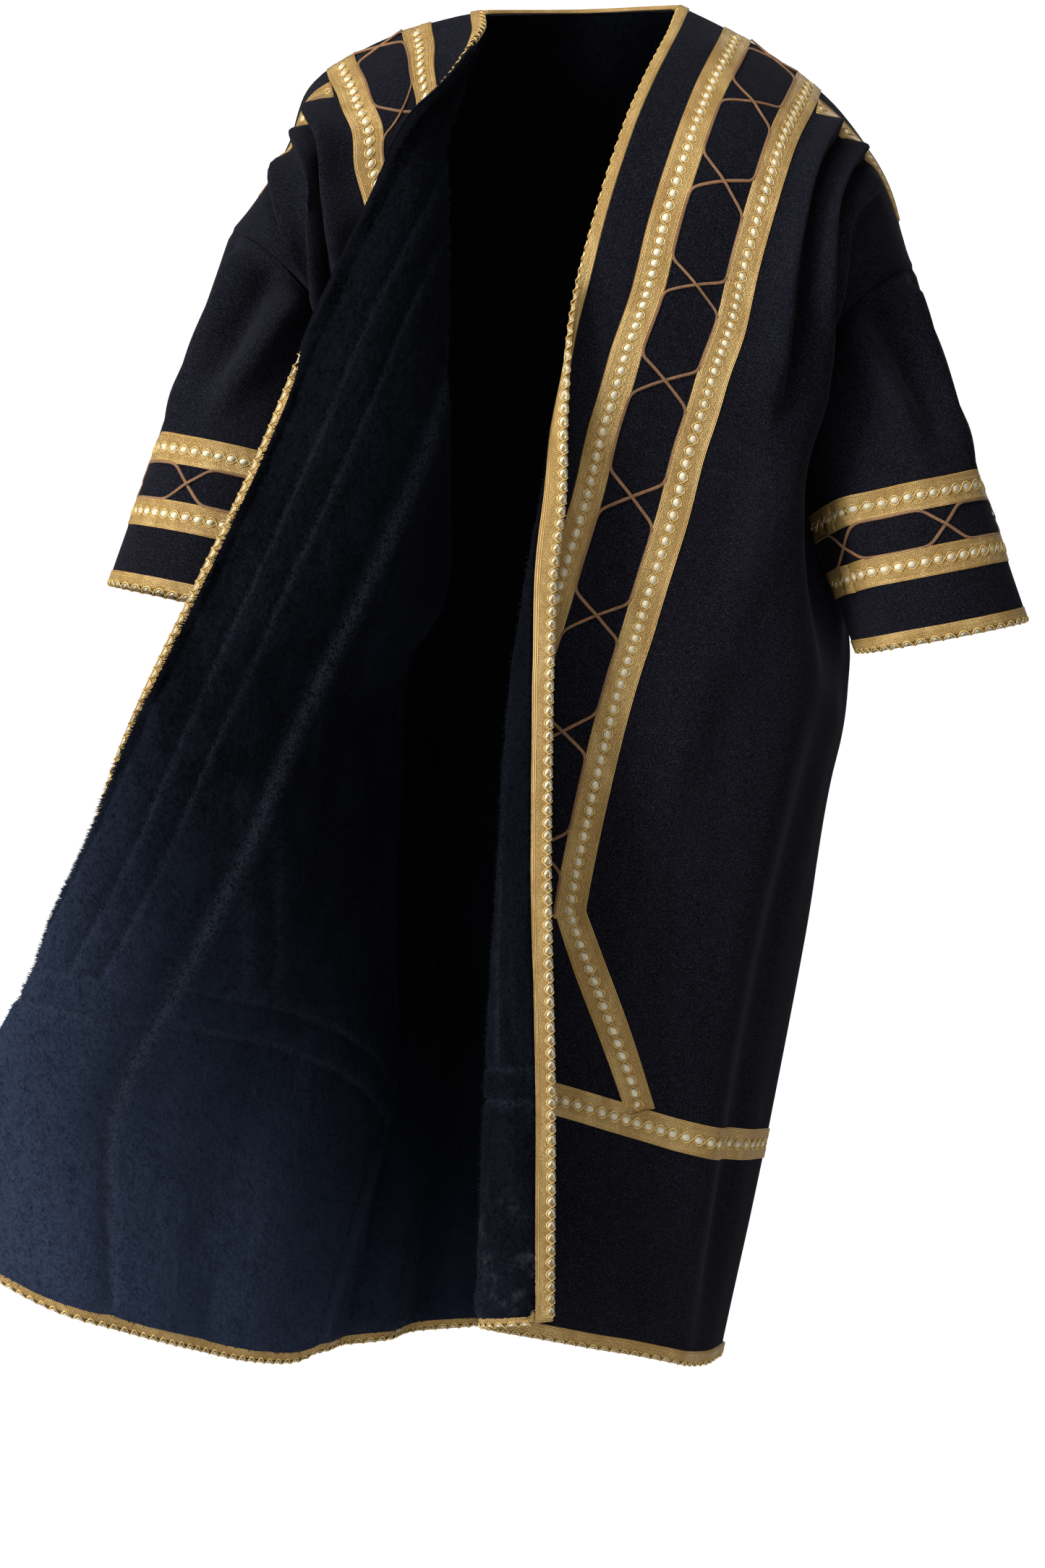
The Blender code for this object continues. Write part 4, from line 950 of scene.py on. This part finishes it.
def stitched(panel):
    """How far the stitching pulls the plush in, on a front, and how strong the painted highlight along it
    is.
    """
    across, down = panel.cut_places()
    total = np.zeros(across.shape)
    if panel not in (front_left, front_right):
        return total, total
    slant = (DIAGONAL_END - OUTER_BAND) / (HEM_BAND - OUTER_BAND_END)
    inside = (down > OUTER_BAND_END - 0.03) & (down < HEM_BAND)
    lines = [(down - place, 1.0, across > 0.012) for place in STITCHES_DOWN]
    for shift in (0.0, BRAID_WIDTH):
        lines.append((across - (INNER_BAND + shift), 1.0, down < HEM_BAND))
        lines.append((across - (OUTER_BAND + shift + (down - OUTER_BAND_END) * slant), 1.2, inside))
    for distance, wider, where in lines:
        total = np.maximum(total, STITCH_DEPTH * bell(distance, STITCH_HALF * wider) * where)
    seam = bell(across - FUZZY_SEAM, FUZZY_HALF) * eased((down - FUZZY_TOP) / 0.05)
    return np.maximum(total, FUZZY_DEPTH * seam), np.maximum(0.35 * total / STITCH_DEPTH, seam)


def nap_relief(panel):
    return noise_over(panel.points, NAP_PER_METRE, 0.6, 0.4) * NAP_HEIGHT


def wall_at(panel):
    """The whole thickness: thin at a bound edge, full in the middle."""
    return EDGE_WALL + (WALL - EDGE_WALL) * eased(edge_distance(panel) / PINCH_REACH)


# %% How the plush covers the inner half of the folded braid
COVER_HEIGHT = 0.0030
COVER_REACH = 0.006
COVER_FROM = 0.0045
HALF_BRAID = 0.016
BARE_TO = 0.44
PLEAT_WALL = 0.0036
PLEATS_DOWN = 0.46
SLEEVE_PLEATS_DOWN = 0.25
OVERHANG = 0.0040
OVERHANG_FROM = 0.085


def cover(panel):
    """The extra height of the plush where it lies over the binding's inner half."""
    across, down = panel.cut_places()
    if panel.closed:
        return 0.0
    edge = LENGTH - down if panel is front_left else edge_distance(panel)
    begins = COVER_FROM
    if panel is front_right:
        begins = COVER_FROM - COVER_REACH * (1 - eased((down - BARE_TO) / 0.05))
    rise = eased((edge - begins) / COVER_REACH)
    if panel is front_left:
        rise = rise * eased((across - HALF_BRAID) / COVER_REACH)
    return COVER_HEIGHT * rise * (1 - eased((edge - HALF_BRAID) / HALF_BRAID))


def overhang(panel):
    """On the right front the plush rolls out past the upper part of the edge and hides its gold."""
    if panel is not front_right:
        return 0.0
    across, down = panel.cut_places()
    upper = eased((down - OVERHANG_FROM) / 0.035) * (1 - eased((down - BARE_TO) / 0.06))
    return -unit(panel.steps()[0]) * (OVERHANG * upper * (1 - eased(across / HALF_BRAID)))[..., None]


def in_pleats(panel):
    """1 where the folds are too sharp for the full pile, and 0 elsewhere."""
    across, down = panel.cut_places()
    if panel.closed:
        return 1 - eased((down - SLEEVE_PLEATS_DOWN) / 0.05)
    if panel is back:
        return np.zeros(across.shape)
    before = eased((across - PLEATS_FROM + 0.022) / 0.016)
    after = 1 - eased((across - PLEATS_TO - 0.02) / 0.03)
    return before * after * (1 - eased((down - PLEATS_DOWN) / 0.05))


# %% Build both layers of every panel
soft_depth = {}
for panel in panels:
    dip = seam_dip(panel)
    thick = wall_at(panel)
    fade = eased(edge_distance(panel) / PINCH_REACH)
    pulled_in, seam_highlight = stitched(panel)
    soft = thick - pulled_in * fade + nap_relief(panel) * fade + cover(panel)
    soft = soft + (np.minimum(PLEAT_WALL, soft) - soft) * in_pleats(panel)
    soft_depth[panel.name] = soft
    cloth = np.minimum(CLOTH, thick * 0.4)
    shell(f"{panel.name}_wool", panel, dip, cloth + dip * 0.5, wool)
    behind = cloth + LAYER_GAP + dip * 0.5
    lining = shell(
        f"{panel.name}_plush", panel, behind, np.maximum(soft, cloth + 0.0012), plush, overhang(panel),
    )
    # The stitching attribute carries the strength of the painted seam highlight to the plush's colour
    seam_highlight_points = np.concatenate([np.zeros(seam_highlight.size), seam_highlight.ravel()])
    lining.data.attributes.new("stitching", "FLOAT", "POINT").data.foreach_set("value", seam_highlight_points)
    print(panel.name, "layers:", len(pieces[f"{panel.name}_wool"].data.polygons), "faces each")

# %% [markdown]
# ## Nap
# Plush is a pile of soft upright hairs, which shows wherever the lining turns its edge to the
# light. Thousands of small three-sided tufts stand on the inner face. They lean down the cloth,
# and a slow noise turns their lean, so that the pile looks crushed in patches. Beside the right
# front's edge they are longer and hang over the folded braid.

# %% Tufts
TUFTS = {
    "back": 60000, "front_left": 40000, "front_right": 62000, "sleeve_left": 26000, "sleeve_right": 26000,
}
TUFT_HEIGHT = 0.0042
TUFT_HALF = 0.00065
TUFT_ROOT = 0.0006
EDGE_TUFTS = 0.16
SEAM_CLEAR = 0.012
EDGE_REACH = 0.012
# How far the tufts lean down the cloth and sway across it, for each metre that they stand up
LEAN = 0.55
LEAN_CHANGE = 0.5
LEAN_PER_METRE = 22
SWAY = 1.1
SWAY_PER_METRE = 35
SWAY_START = Vector((9, 4, 2))
EDGE_SWAY = 0.9
STRAY = 0.3


def tufts(panel, count, seed):
    chance = np.random.default_rng(seed)
    wide = float(panel.across[-1] - panel.across[0])
    low, high = float(panel.downs[0]) + 0.004, float(panel.downs[-1]) - 0.006
    across = panel.across[0] + wide * chance.random(count)
    down = low + (high - low) * chance.random(count)
    longer = np.ones(count)
    if panel is front_left:
        across = np.clip(across, 0.017, FRONT_WIDTH - SEAM_CLEAR)
    elif panel is front_right:
        beside = chance.random(count) < EDGE_TUFTS
        across = np.where(beside, 0.0045 + EDGE_REACH * chance.random(count), np.maximum(across, 0.007))
        bare = (across < 0.009) & (down > BARE_TO)
        across = np.where(bare & beside, across + 0.006, across)
        across = np.minimum(across, FRONT_WIDTH - SEAM_CLEAR)
        longer = 1 + 0.9 * bell(across, EDGE_REACH)
    elif panel is back:
        across = np.clip(across, 0.014, 0.986)
    smooth = panel.read(in_pleats(panel)[..., None], across, down)[:, 0] < 0.2
    across, down, longer, count = across[smooth], down[smooth], longer[smooth], int(smooth.sum())
    depth = panel.read(soft_depth[panel.name][..., None], across, down)
    inward = -panel.outward(across, down)
    over_root = panel.read(panel.points, across, down)
    root = over_root + inward * (depth - TUFT_ROOT)
    ahead = unit(panel.read(panel.points, across, np.minimum(down + 0.004, high)) - over_root)
    aside = np.cross(inward, ahead)
    spots = [Vector(point) for point in root]
    lean = LEAN + LEAN_CHANGE * np.array([noise.noise(spot * LEAN_PER_METRE) for spot in spots])
    sway = SWAY * np.array([noise.noise(spot * SWAY_PER_METRE + SWAY_START) for spot in spots])
    if panel is front_right:
        to_edge = panel.read(panel.points, np.maximum(across - 0.004, 0), down) - over_root
        sway = sway + EDGE_SWAY * bell(across, EDGE_REACH) * np.sign((to_edge * aside).sum(axis=-1))
    stray = STRAY * chance.standard_normal((count, 3))
    tip_way = inward + ahead * lean[:, None] + aside * sway[:, None] + stray
    tip = root + unit(tip_way) * (TUFT_HEIGHT * longer * (0.7 + 0.6 * chance.random(count)))[:, None]
    spin = 2 * math.pi * chance.random(count)
    vertices = [tip]
    for k in range(3):
        angle = (spin + k * 2 * math.pi / 3)[:, None]
        vertices.append(root + TUFT_HALF * (ahead * np.cos(angle) + aside * np.sin(angle)))
    vertices = np.stack(vertices, axis=1).reshape(-1, 3)
    faces = 4 * np.arange(count)[:, None, None] + np.array([(0, 1, 2), (0, 2, 3), (0, 3, 1)])
    return new_piece(f"{panel.name}_nap", vertices, faces.swapaxes(0, 1).reshape(-1, 3).tolist(), [plush])


for number, panel in enumerate(panels):
    nap_piece = tufts(panel, TUFTS[panel.name], 11 + number)
    print(nap_piece.name, len(nap_piece.data.polygons), "faces")

# %% [markdown]
# ## Braid
# The ribbon's pattern repeats every 12 mm or so: a pale oval dot, and two gilt threads that
# cross before and after it, like a link of chain. One dot and one link are modelled flat, and
# copied along every strip. A rule turns a place on the strip, along and across, and a height
# into a point on the robe, so each copy bends with the cloth.

# %% One function for every strip of braid
DOT_PITCH = 0.0117
DOT_HALF = (0.0041, 0.0038)
DOT_HEIGHT = 0.0004
DOT_SIDES = 12
DOT_ON_FOLD = 1.12
CHAIN_SWING = 0.0051
CHAIN_HALF = 0.00075
CHAIN_HEIGHT = 0.0006
CHAIN_RISE = 0.0003
CHAIN_STEPS = 8
GROUND_STEP = 0.0055
GROUND_LOW = 0.00015
GROUND_TOP = 0.0008
# Across half a strip: the distance from its middle and the height over the ground, in millimetres
GROUND_PROFILE = metres((
    (0, -0.2), (4.5, -0.2), (5.1, 0.1), (8.5, 0.15), (11.2, 0),
    (11.8, 0.3), (12.6, 0), (13.3, 0.3), (14.1, 0), (14.8, 0.3), (15.5, -0.2),
))


def turn_outward(piece):
    """Each closed island gets its faces pointing out."""
    bm = bmesh.new()
    bm.from_mesh(piece.data)
    bmesh.ops.recalc_face_normals(bm, faces=bm.faces)
    bm.to_mesh(piece.data)
    bm.free()
    piece.data.shade_smooth()


def join_parts(name, parts, materials, replaced):
    """One piece from several parts, each with its points, faces, material and UVs."""
    vertices, faces, kinds, uvs = [], [], [], []
    count = 0
    for points, part_faces, kind, uv in parts:
        faces += [tuple(k + count for k in face) for face in part_faces]
        kinds += [kind] * len(part_faces)
        vertices.append(points.reshape(-1, 3))
        uvs.append(uv.reshape(-1, 2))
        count += len(vertices[-1])
    piece = new_piece(name, np.concatenate(vertices), faces, materials, kinds, np.concatenate(uvs))
    turn_outward(piece)
    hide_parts(replaced)


def tube_faces(rows, loop):
    """Faces of a closed bar: a loop of points for each row, and both ends filled."""
    faces = []
    for i in range(rows - 1):
        for k in range(loop):
            m = (k + 1) % loop
            faces.append((i * loop + k, i * loop + m, (i + 1) * loop + m, (i + 1) * loop + k))
    faces.append(tuple(range(loop - 1, -1, -1)))
    faces.append(tuple((rows - 1) * loop + k for k in range(loop)))
    return faces


# %% Model one dot
def start_circle(sides, fill, turn, place, size):
    bpy.ops.object.select_all(action="DESELECT")
    bpy.ops.mesh.primitive_circle_add(
        vertices=sides, radius=1.0, fill_type=fill, rotation=(0, turn, 0), location=place,
    )
    bpy.ops.transform.resize(value=size)
    bpy.ops.object.mode_set(mode="EDIT")
    bpy.ops.mesh.select_all(action="SELECT")


def extrude(x, y, z):
    bpy.ops.mesh.extrude_region_move(TRANSFORM_OT_translate={"value": (x, y, z)})


def finished_shape():
    """The active object's points and faces, after which the object is removed."""
    bpy.ops.object.mode_set(mode="OBJECT")
    thing = bpy.context.object
    mesh = thing.data
    points = np.array([thing.matrix_world @ vertex.co for vertex in mesh.vertices])
    faces = [tuple(face.vertices) for face in mesh.polygons]
    bpy.data.objects.remove(thing)
    bpy.data.meshes.remove(mesh)
    return points, faces


start_circle(DOT_SIDES, "NGON", 0, (0, 0, -0.0002), (*DOT_HALF, 1))
extrude(0, 0, DOT_HEIGHT * 0.75)
bpy.ops.transform.resize(value=(0.93, 0.93, 1))
bpy.ops.mesh.inset(thickness=0.0011, depth=DOT_HEIGHT * 0.25)
dot_shape = finished_shape()
print("one dot:", len(dot_shape[1]), "faces")

# %% Model one link of the chain
link_points = []
link_faces = []
for way in (1, -1):
    start = (-DOT_PITCH / 2, 0, CHAIN_HEIGHT * 0.35 - CHAIN_RISE * way)
    start_circle(4, "NOTHING", math.radians(90), start, (1, CHAIN_HALF, CHAIN_HEIGHT))
    for step in range(CHAIN_STEPS):
        here, there = (math.pi * (step + k) / CHAIN_STEPS for k in (0, 1))
        aside = way * CHAIN_SWING * (math.sin(there) - math.sin(here))
        extrude(DOT_PITCH / CHAIN_STEPS, aside, CHAIN_RISE * way * (math.cos(here) - math.cos(there)))
    points, faces = finished_shape()
    before = sum(len(strand) for strand in link_points)
    link_faces += [tuple(k + before for k in face) for face in faces]
    link_points.append(points)
link_shape = (np.concatenate(link_points), link_faces)
print("one link:", len(link_faces), "faces")


# %% Lay the ground and the copies
def ground_part(rule, length, width):
    rows = max(int(round(length / GROUND_STEP)), 1) + 1
    half = [(v * width / BRAID_WIDTH, GROUND_TOP + h) for v, h in GROUND_PROFILE]
    section = [(-v, h) for v, h in reversed(half)] + half[1:]
    section += [(half[-1][0], GROUND_LOW), (-half[-1][0], GROUND_LOW)]
    v, h = np.array(section).T
    uu, vv = np.meshgrid(np.linspace(0, length, rows), v, indexing="ij")
    points = rule(uu, vv, np.broadcast_to(h, uu.shape))
    return points, tube_faces(rows, len(section)), 0, np.stack([uu, vv], axis=-1)


def copies_part(rule, shape, middles, scale, kind, longer=1.0):
    """A flat shape, copied to every place along the strip."""
    points, faces = shape
    u = middles[:, None] + points[None, :, 0] * longer
    v = np.broadcast_to(points[None, :, 1] * scale, u.shape)
    h = np.broadcast_to(points[None, :, 2] + GROUND_TOP, u.shape)
    copied = [tuple(k + len(points) * copy for k in face) for copy in range(len(middles)) for face in faces]
    return rule(u, v, h), copied, kind, np.stack([u, v], axis=-1)


def braid(name, replaced, strips, width=BRAID_WIDTH, longer=1.0):
    """A piece of braid from one or more strips, each with its rule and its length."""
    scale = width / BRAID_WIDTH
    parts = []
    for rule, length in strips:
        turns = int(length / DOT_PITCH)
        middles = (length - turns * DOT_PITCH) / 2 + DOT_PITCH * (np.arange(turns) + 0.5)
        parts.append(ground_part(rule, length, width))
        parts.append(copies_part(rule, link_shape, middles, scale, 1))
        parts.append(copies_part(rule, dot_shape, middles, scale * longer, 2, longer))
    join_parts(name, parts, [braid_ground, gold_chain, pale_dots], replaced)


# %% Rules for flat strips and for folded edges
def strip_between(panel, start, end):
    """A straight strip on the flat cut, from one place to another, by (across, down)."""
    length = math.hypot(end[0] - start[0], end[1] - start[1])
    ahead = (np.array(end) - start) / length

    def rule(u, v, h):
        across = start[0] + ahead[0] * u - ahead[1] * v
        down = start[1] + ahead[1] * u + ahead[0] * v
        return panel.place(across, down, h)

    return rule, length


FOLD_HALF = math.pi * EDGE_WALL / 4
DOTS_TURNED_IN = {"left": 0.0028, "right": 0.0012}


def folded_edge(panel, cut_place, length, turned_in=0.0):
    """Braid folded round an edge, by a function that gives (across, down) at u along and d in from
    the edge. The row of dots is turned in from the fold towards the plush side."""
    def rule(u, v, h):
        v = v - turned_in
        reach = np.maximum(np.abs(v) - FOLD_HALF, 0.0)
        thick = EDGE_WALL + (WALL - EDGE_WALL) * eased(reach / PINCH_REACH)
        flat = panel.place(*cut_place(u, reach), np.where(v > 0, h, -thick - h))
        edge = cut_place(u, np.zeros_like(u))
        middle = panel.place(*edge, -EDGE_WALL / 2)
        outward = unit(panel.place(*edge, EDGE_WALL / 2) - middle)
        beyond = unit(middle - panel.place(*cut_place(u, np.full_like(u, 0.002)), -EDGE_WALL / 2))
        turn = np.clip(v / FOLD_HALF, -1, 1) * (math.pi / 2)
        way = beyond * np.cos(turn)[..., None] + outward * np.sin(turn)[..., None]
        bent = middle + (EDGE_WALL / 2 + h)[..., None] * way
        return np.where((np.abs(v) < FOLD_HALF)[..., None], bent, flat)

    return rule, length


# %% The braid on the two fronts
FRONTS = {"left": front_left, "right": front_right}
HEM_START = 0.014
SHOULDER_START = (OUTER_BAND + BRAID_WIDTH + 0.002, 0.040)
SHOULDER_END = (0.356, 0.012)
inner, outer, level = (place + BRAID_WIDTH / 2 for place in (INNER_BAND, OUTER_BAND, HEM_BAND))
slant_end = DIAGONAL_END + BRAID_WIDTH / 2 + 0.006
for side, panel in FRONTS.items():
    strips = (
        ("inner", f"front_{side}_band_inner", (inner, 0.0015), (inner, HEM_BAND - 0.0005)),
        ("outer", f"front_{side}_band_outer", (outer, 0.0015), (outer, OUTER_BAND_END + 0.004)),
        ("slant", f"front_{side}_band_diagonal", (outer + 0.001, OUTER_BAND_END - 0.004),
         (slant_end, HEM_BAND + 0.004)),
        ("level", f"hem_band_{side}", (0.0165, level), (FRONT_WIDTH - 0.002, level)),
        ("shoulder", f"shoulder_band_{side}", SHOULDER_START, SHOULDER_END),
    )
    for name, replaced, start, end in strips:
        braid(f"braid_{name}_{side}", replaced, [strip_between(panel, start, end)])
    edge = folded_edge(panel, lambda u, d: (d, u), LENGTH, DOTS_TURNED_IN[side])
    braid(f"braid_edge_{side}", f"front_{side}_binding", [edge], longer=DOT_ON_FOLD)
    hem = folded_edge(panel, lambda u, d: (u + HEM_START, LENGTH - d), FRONT_WIDTH - HEM_START)
    braid(f"braid_hem_{side}", f"hem_binding_{side}", [hem])


def count_faces(start):
    return sum(len(piece.data.polygons) for name, piece in pieces.items() if name.startswith(start))


print("front braid:", count_faces("braid"), "faces")

# %% Braid on the back's hem and neck, and round the sleeves
TAB_FROM, TAB_TO, TAB_HEIGHT = 0.030, 0.046, 0.0013
NECK_TURNED_IN = -0.0085


def raised_strip(rule, length, height):
    """The folded-over end of a ribbon, which lies on top of its start."""
    return (lambda u, v, h: rule(u, v * 1.02, h + height)), length


hem_length = float(lengths(back.points[-1])[-1])
hem = folded_edge(back, lambda u, d: (u / hem_length, LENGTH - d), hem_length)
braid("braid_hem_back", "hem_binding_back", [hem])
neck_start = (back.points.shape[1] - NECK_COLUMNS - 1) // 2
neck_end = neck_start + NECK_COLUMNS
neck_from, neck_to = float(back.across[neck_start]), float(back.across[neck_end])
neck_length = float(lengths(back.points[0, neck_start:neck_end + 1])[-1])
neck_span = (neck_to - neck_from) / neck_length
neck = folded_edge(back, lambda u, d: (neck_from + neck_span * u, d), neck_length, NECK_TURNED_IN)
braid("braid_neck", "neck_binding", [neck])
SLEEVES = {"left": sleeve_left, "right": sleeve_right}
for side, panel in SLEEVES.items():
    for row, from_cuff in (("upper", UPPER_SLEEVE_BAND), ("lower", LOWER_SLEEVE_BAND)):
        down = SLEEVE_LENGTH - from_cuff - SLEEVE_BAND_WIDTH / 2
        whole = strip_between(panel, (0.0005, down), (SLEEVE_GIRTH - 0.0005, down))
        tab = raised_strip(*strip_between(panel, (TAB_FROM, down), (TAB_TO, down + 0.0006)), TAB_HEIGHT)
        name = f"braid_sleeve_{row}_{side}"
        braid(name, f"sleeve_band_{row}_{side}", [whole, tab], SLEEVE_BAND_WIDTH)
    cuff_length = float(lengths(np.concatenate([panel.points[-1], panel.points[-1, :1]]))[-1])
    cuff_span = SLEEVE_GIRTH / cuff_length
    cuff = folded_edge(panel, lambda u, d: (u * cuff_span, SLEEVE_LENGTH - d), cuff_length)
    braid(f"braid_cuff_{side}", f"cuff_binding_{side}", [cuff])
print("all braid:", count_faces("braid"), "faces")

# %% [markdown]
# ## Cord lattice
# Two flat cords run down the lane between the bands, one along each, and change sides at every
# crossing. The cord has two rounded ridges with a groove between. At a crossing one cord climbs
# over the other.

# %% Cord
CORD_PROFILE = metres((
    (-1.5, 0.1), (-1.4, 0.8), (-0.8, 1.4), (0, 0.9), (0.8, 1.4), (1.4, 0.8), (1.5, 0.1),
))
CORD_STEP = 0.0030
CORD_ROUNDING = 5
CORD_OVER = 0.0015
CORD_CLIMB = 0.006
FIRST_CROSSING = {"left": 0.048, "right": 0.054}
LANE = (INNER_BAND + BRAID_WIDTH - 0.0008, OUTER_BAND + 0.0008)
SLEEVE_LANE = (
    SLEEVE_LENGTH - UPPER_SLEEVE_BAND - 0.0006,
    SLEEVE_LENGTH - LOWER_SLEEVE_BAND - SLEEVE_BAND_WIDTH + 0.0006,
)


def softened(points, times):
    """A path with its corners rounded off by averaging neighbours."""
    for _ in range(times):
        middle = (points[:-2] + 2 * points[1:-1] + points[2:]) / 4
        points = np.concatenate([points[:1], middle, points[-1:]])
    return points


def cord_path(lane, top, bottom, pitch, first, number):
    """(across, down) along one cord of a pair, and how high it rides over the other."""
    crossings = np.arange(first, bottom - 0.02, pitch)
    sides = [lane[(number + k) % 2] for k in range(len(crossings) + 1)]
    corners = [(sides[0], top)]
    for k, place in enumerate(crossings):
        if place - LATTICE_CROSSING / 2 > top:
            corners.append((sides[k], place - LATTICE_CROSSING / 2))
        corners.append((sides[k + 1], place + LATTICE_CROSSING / 2))
    corners.append((sides[-1], bottom))
    path = []
    for a, b in zip(corners, corners[1:]):
        steps = max(int(math.dist(a, b) / CORD_STEP), 1)
        path.append(np.linspace(a, b, steps, endpoint=False))
    path = softened(np.concatenate(path + [corners[-1:]]), CORD_ROUNDING)
    over = np.zeros(len(path))
    for place in crossings[number::2]:
        over = np.maximum(over, bell(path[:, 1] - place, CORD_CLIMB))
    return path, over * CORD_OVER


def cords(name, replaced, panel, path_of, flip=False):
    v, h = np.array(CORD_PROFILE).T
    parts = []
    for number in (0, 1):
        path, over = path_of(number)
        if flip:
            path = path[:, ::-1]
        ahead = unit(np.gradient(path, axis=0))
        aside = np.stack([-ahead[:, 1], ahead[:, 0]], axis=1)
        spots = path[:, None] + aside[:, None] * v[None, :, None]
        points = panel.place(spots[..., 0], spots[..., 1], over[:, None] + h[None])
        uv = np.stack(np.broadcast_arrays(lengths(path)[:, None], v[None]), axis=-1)
        parts.append((points, tube_faces(len(path), len(v)), 0, uv))
    join_parts(name, parts, [brown_cord], replaced)


for side, panel in FRONTS.items():
    cords(
        f"cord_lattice_{side}", f"lattice_{side}", panel,
        lambda number: cord_path(LANE, 0.002, OUTER_BAND_END, LATTICE_PITCH, 0.0, number),
    )
for side, panel in SLEEVES.items():
    first = FIRST_CROSSING[side]
    cords(
        f"cord_sleeve_{side}", f"sleeve_lattice_{side}", panel,
        lambda number: cord_path(SLEEVE_LANE, 0.001, SLEEVE_GIRTH - 0.001, SLEEVE_PITCH, first, number),
        flip=True,
    )
print("cords:", count_faces("cord"), "faces")

# %% [markdown]
# ## What each piece stands for
# Every CAD solid is hidden by the piece that replaces it.

for panel in panels:
    outer = pieces[f"{panel.name}_wool"]
    lining = pieces[f"{panel.name}_plush"]
    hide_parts(panel.name)
    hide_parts(f"{panel.name}_lining")

# %% [markdown]
# ## Studio
# The photograph has a pure white background and soft light from the front. A pale floor and a
# backdrop stand for the studio, and they aren't part of the robe.

# %% Floor, backdrop and lights
FLOOR = -1.50
mesh = bpy.data.meshes.new("floor")
corners = [(x, y, FLOOR) for x, y in ((-8, -8), (8, -8), (8, 8), (-8, 8))]
mesh.from_pydata(corners, [], [(0, 1, 2, 3)])
floor = add_object("floor", mesh)
# Seen by the camera the floor is as white as the backdrop, and it lights the robe as paper would
material, tree, paper = fabric("floor", Base_Color=(0.85, 0.85, 0.85, 1), Roughness=0.9)
white = node(tree, "ShaderNodeEmission", {"Color": (1, 1, 1, 1), "Strength": 1.1}).outputs["Emission"]
seen = node(tree, "ShaderNodeLightPath").outputs["Is Camera Ray"]
both = node(tree, "ShaderNodeMixShader", {0: seen, 1: paper.outputs["BSDF"], 2: white}).outputs["Shader"]
tree.links.new(both, tree.nodes["Material Output"].inputs["Surface"])
mesh.materials.append(material)


def lamp(name, place, aim, size, power):
    data = bpy.data.lights.new(name, "AREA")
    data.shape = "RECTANGLE"
    data.size, data.size_y = size
    data.energy = power
    thing = add_object(name, data)
    thing.location = place
    thing.rotation_euler = (Vector(aim) - Vector(place)).to_track_quat("-Z", "Y").to_euler()


MIDDLE = (0, 0, -0.65)
lamp("key", (-2.6, -2.2, 1.2), MIDDLE, (0.9, 1.6), 138)
lamp("fill", (1.4, -3.0, 0.4), MIDDLE, (1.4, 2.0), 10)
lamp("top", (-0.3, -1.1, 1.9), MIDDLE, (1.4, 1.0), 40)
lamp("behind", (0.6, 3.0, 0.8), MIDDLE, (2.0, 2.4), 30)
lamp("low", (-1.5, -1.9, -1.0), (-0.42, -0.1, -1.12), (0.5, 0.5), 9)
lamp("side", (-3.0, -1.2, 0.1), (-0.35, 0.0, -0.45), (0.4, 1.0), 26)
world = bpy.data.worlds.new("studio")
bpy.context.scene.world = world
world.use_nodes = True
# The backdrop looks pure white, and lights the robe less than it looks
sky = world.node_tree
sky.nodes["Background"].inputs["Color"].default_value = (1, 1, 1, 1)
strength = line(node(sky, "ShaderNodeLightPath").outputs["Is Camera Ray"], 0.85, 0.25)
sky.links.new(strength, sky.nodes["Background"].inputs["Strength"])
bpy.context.scene.view_settings.view_transform = "Standard"
print("lights:", len(bpy.data.lights))
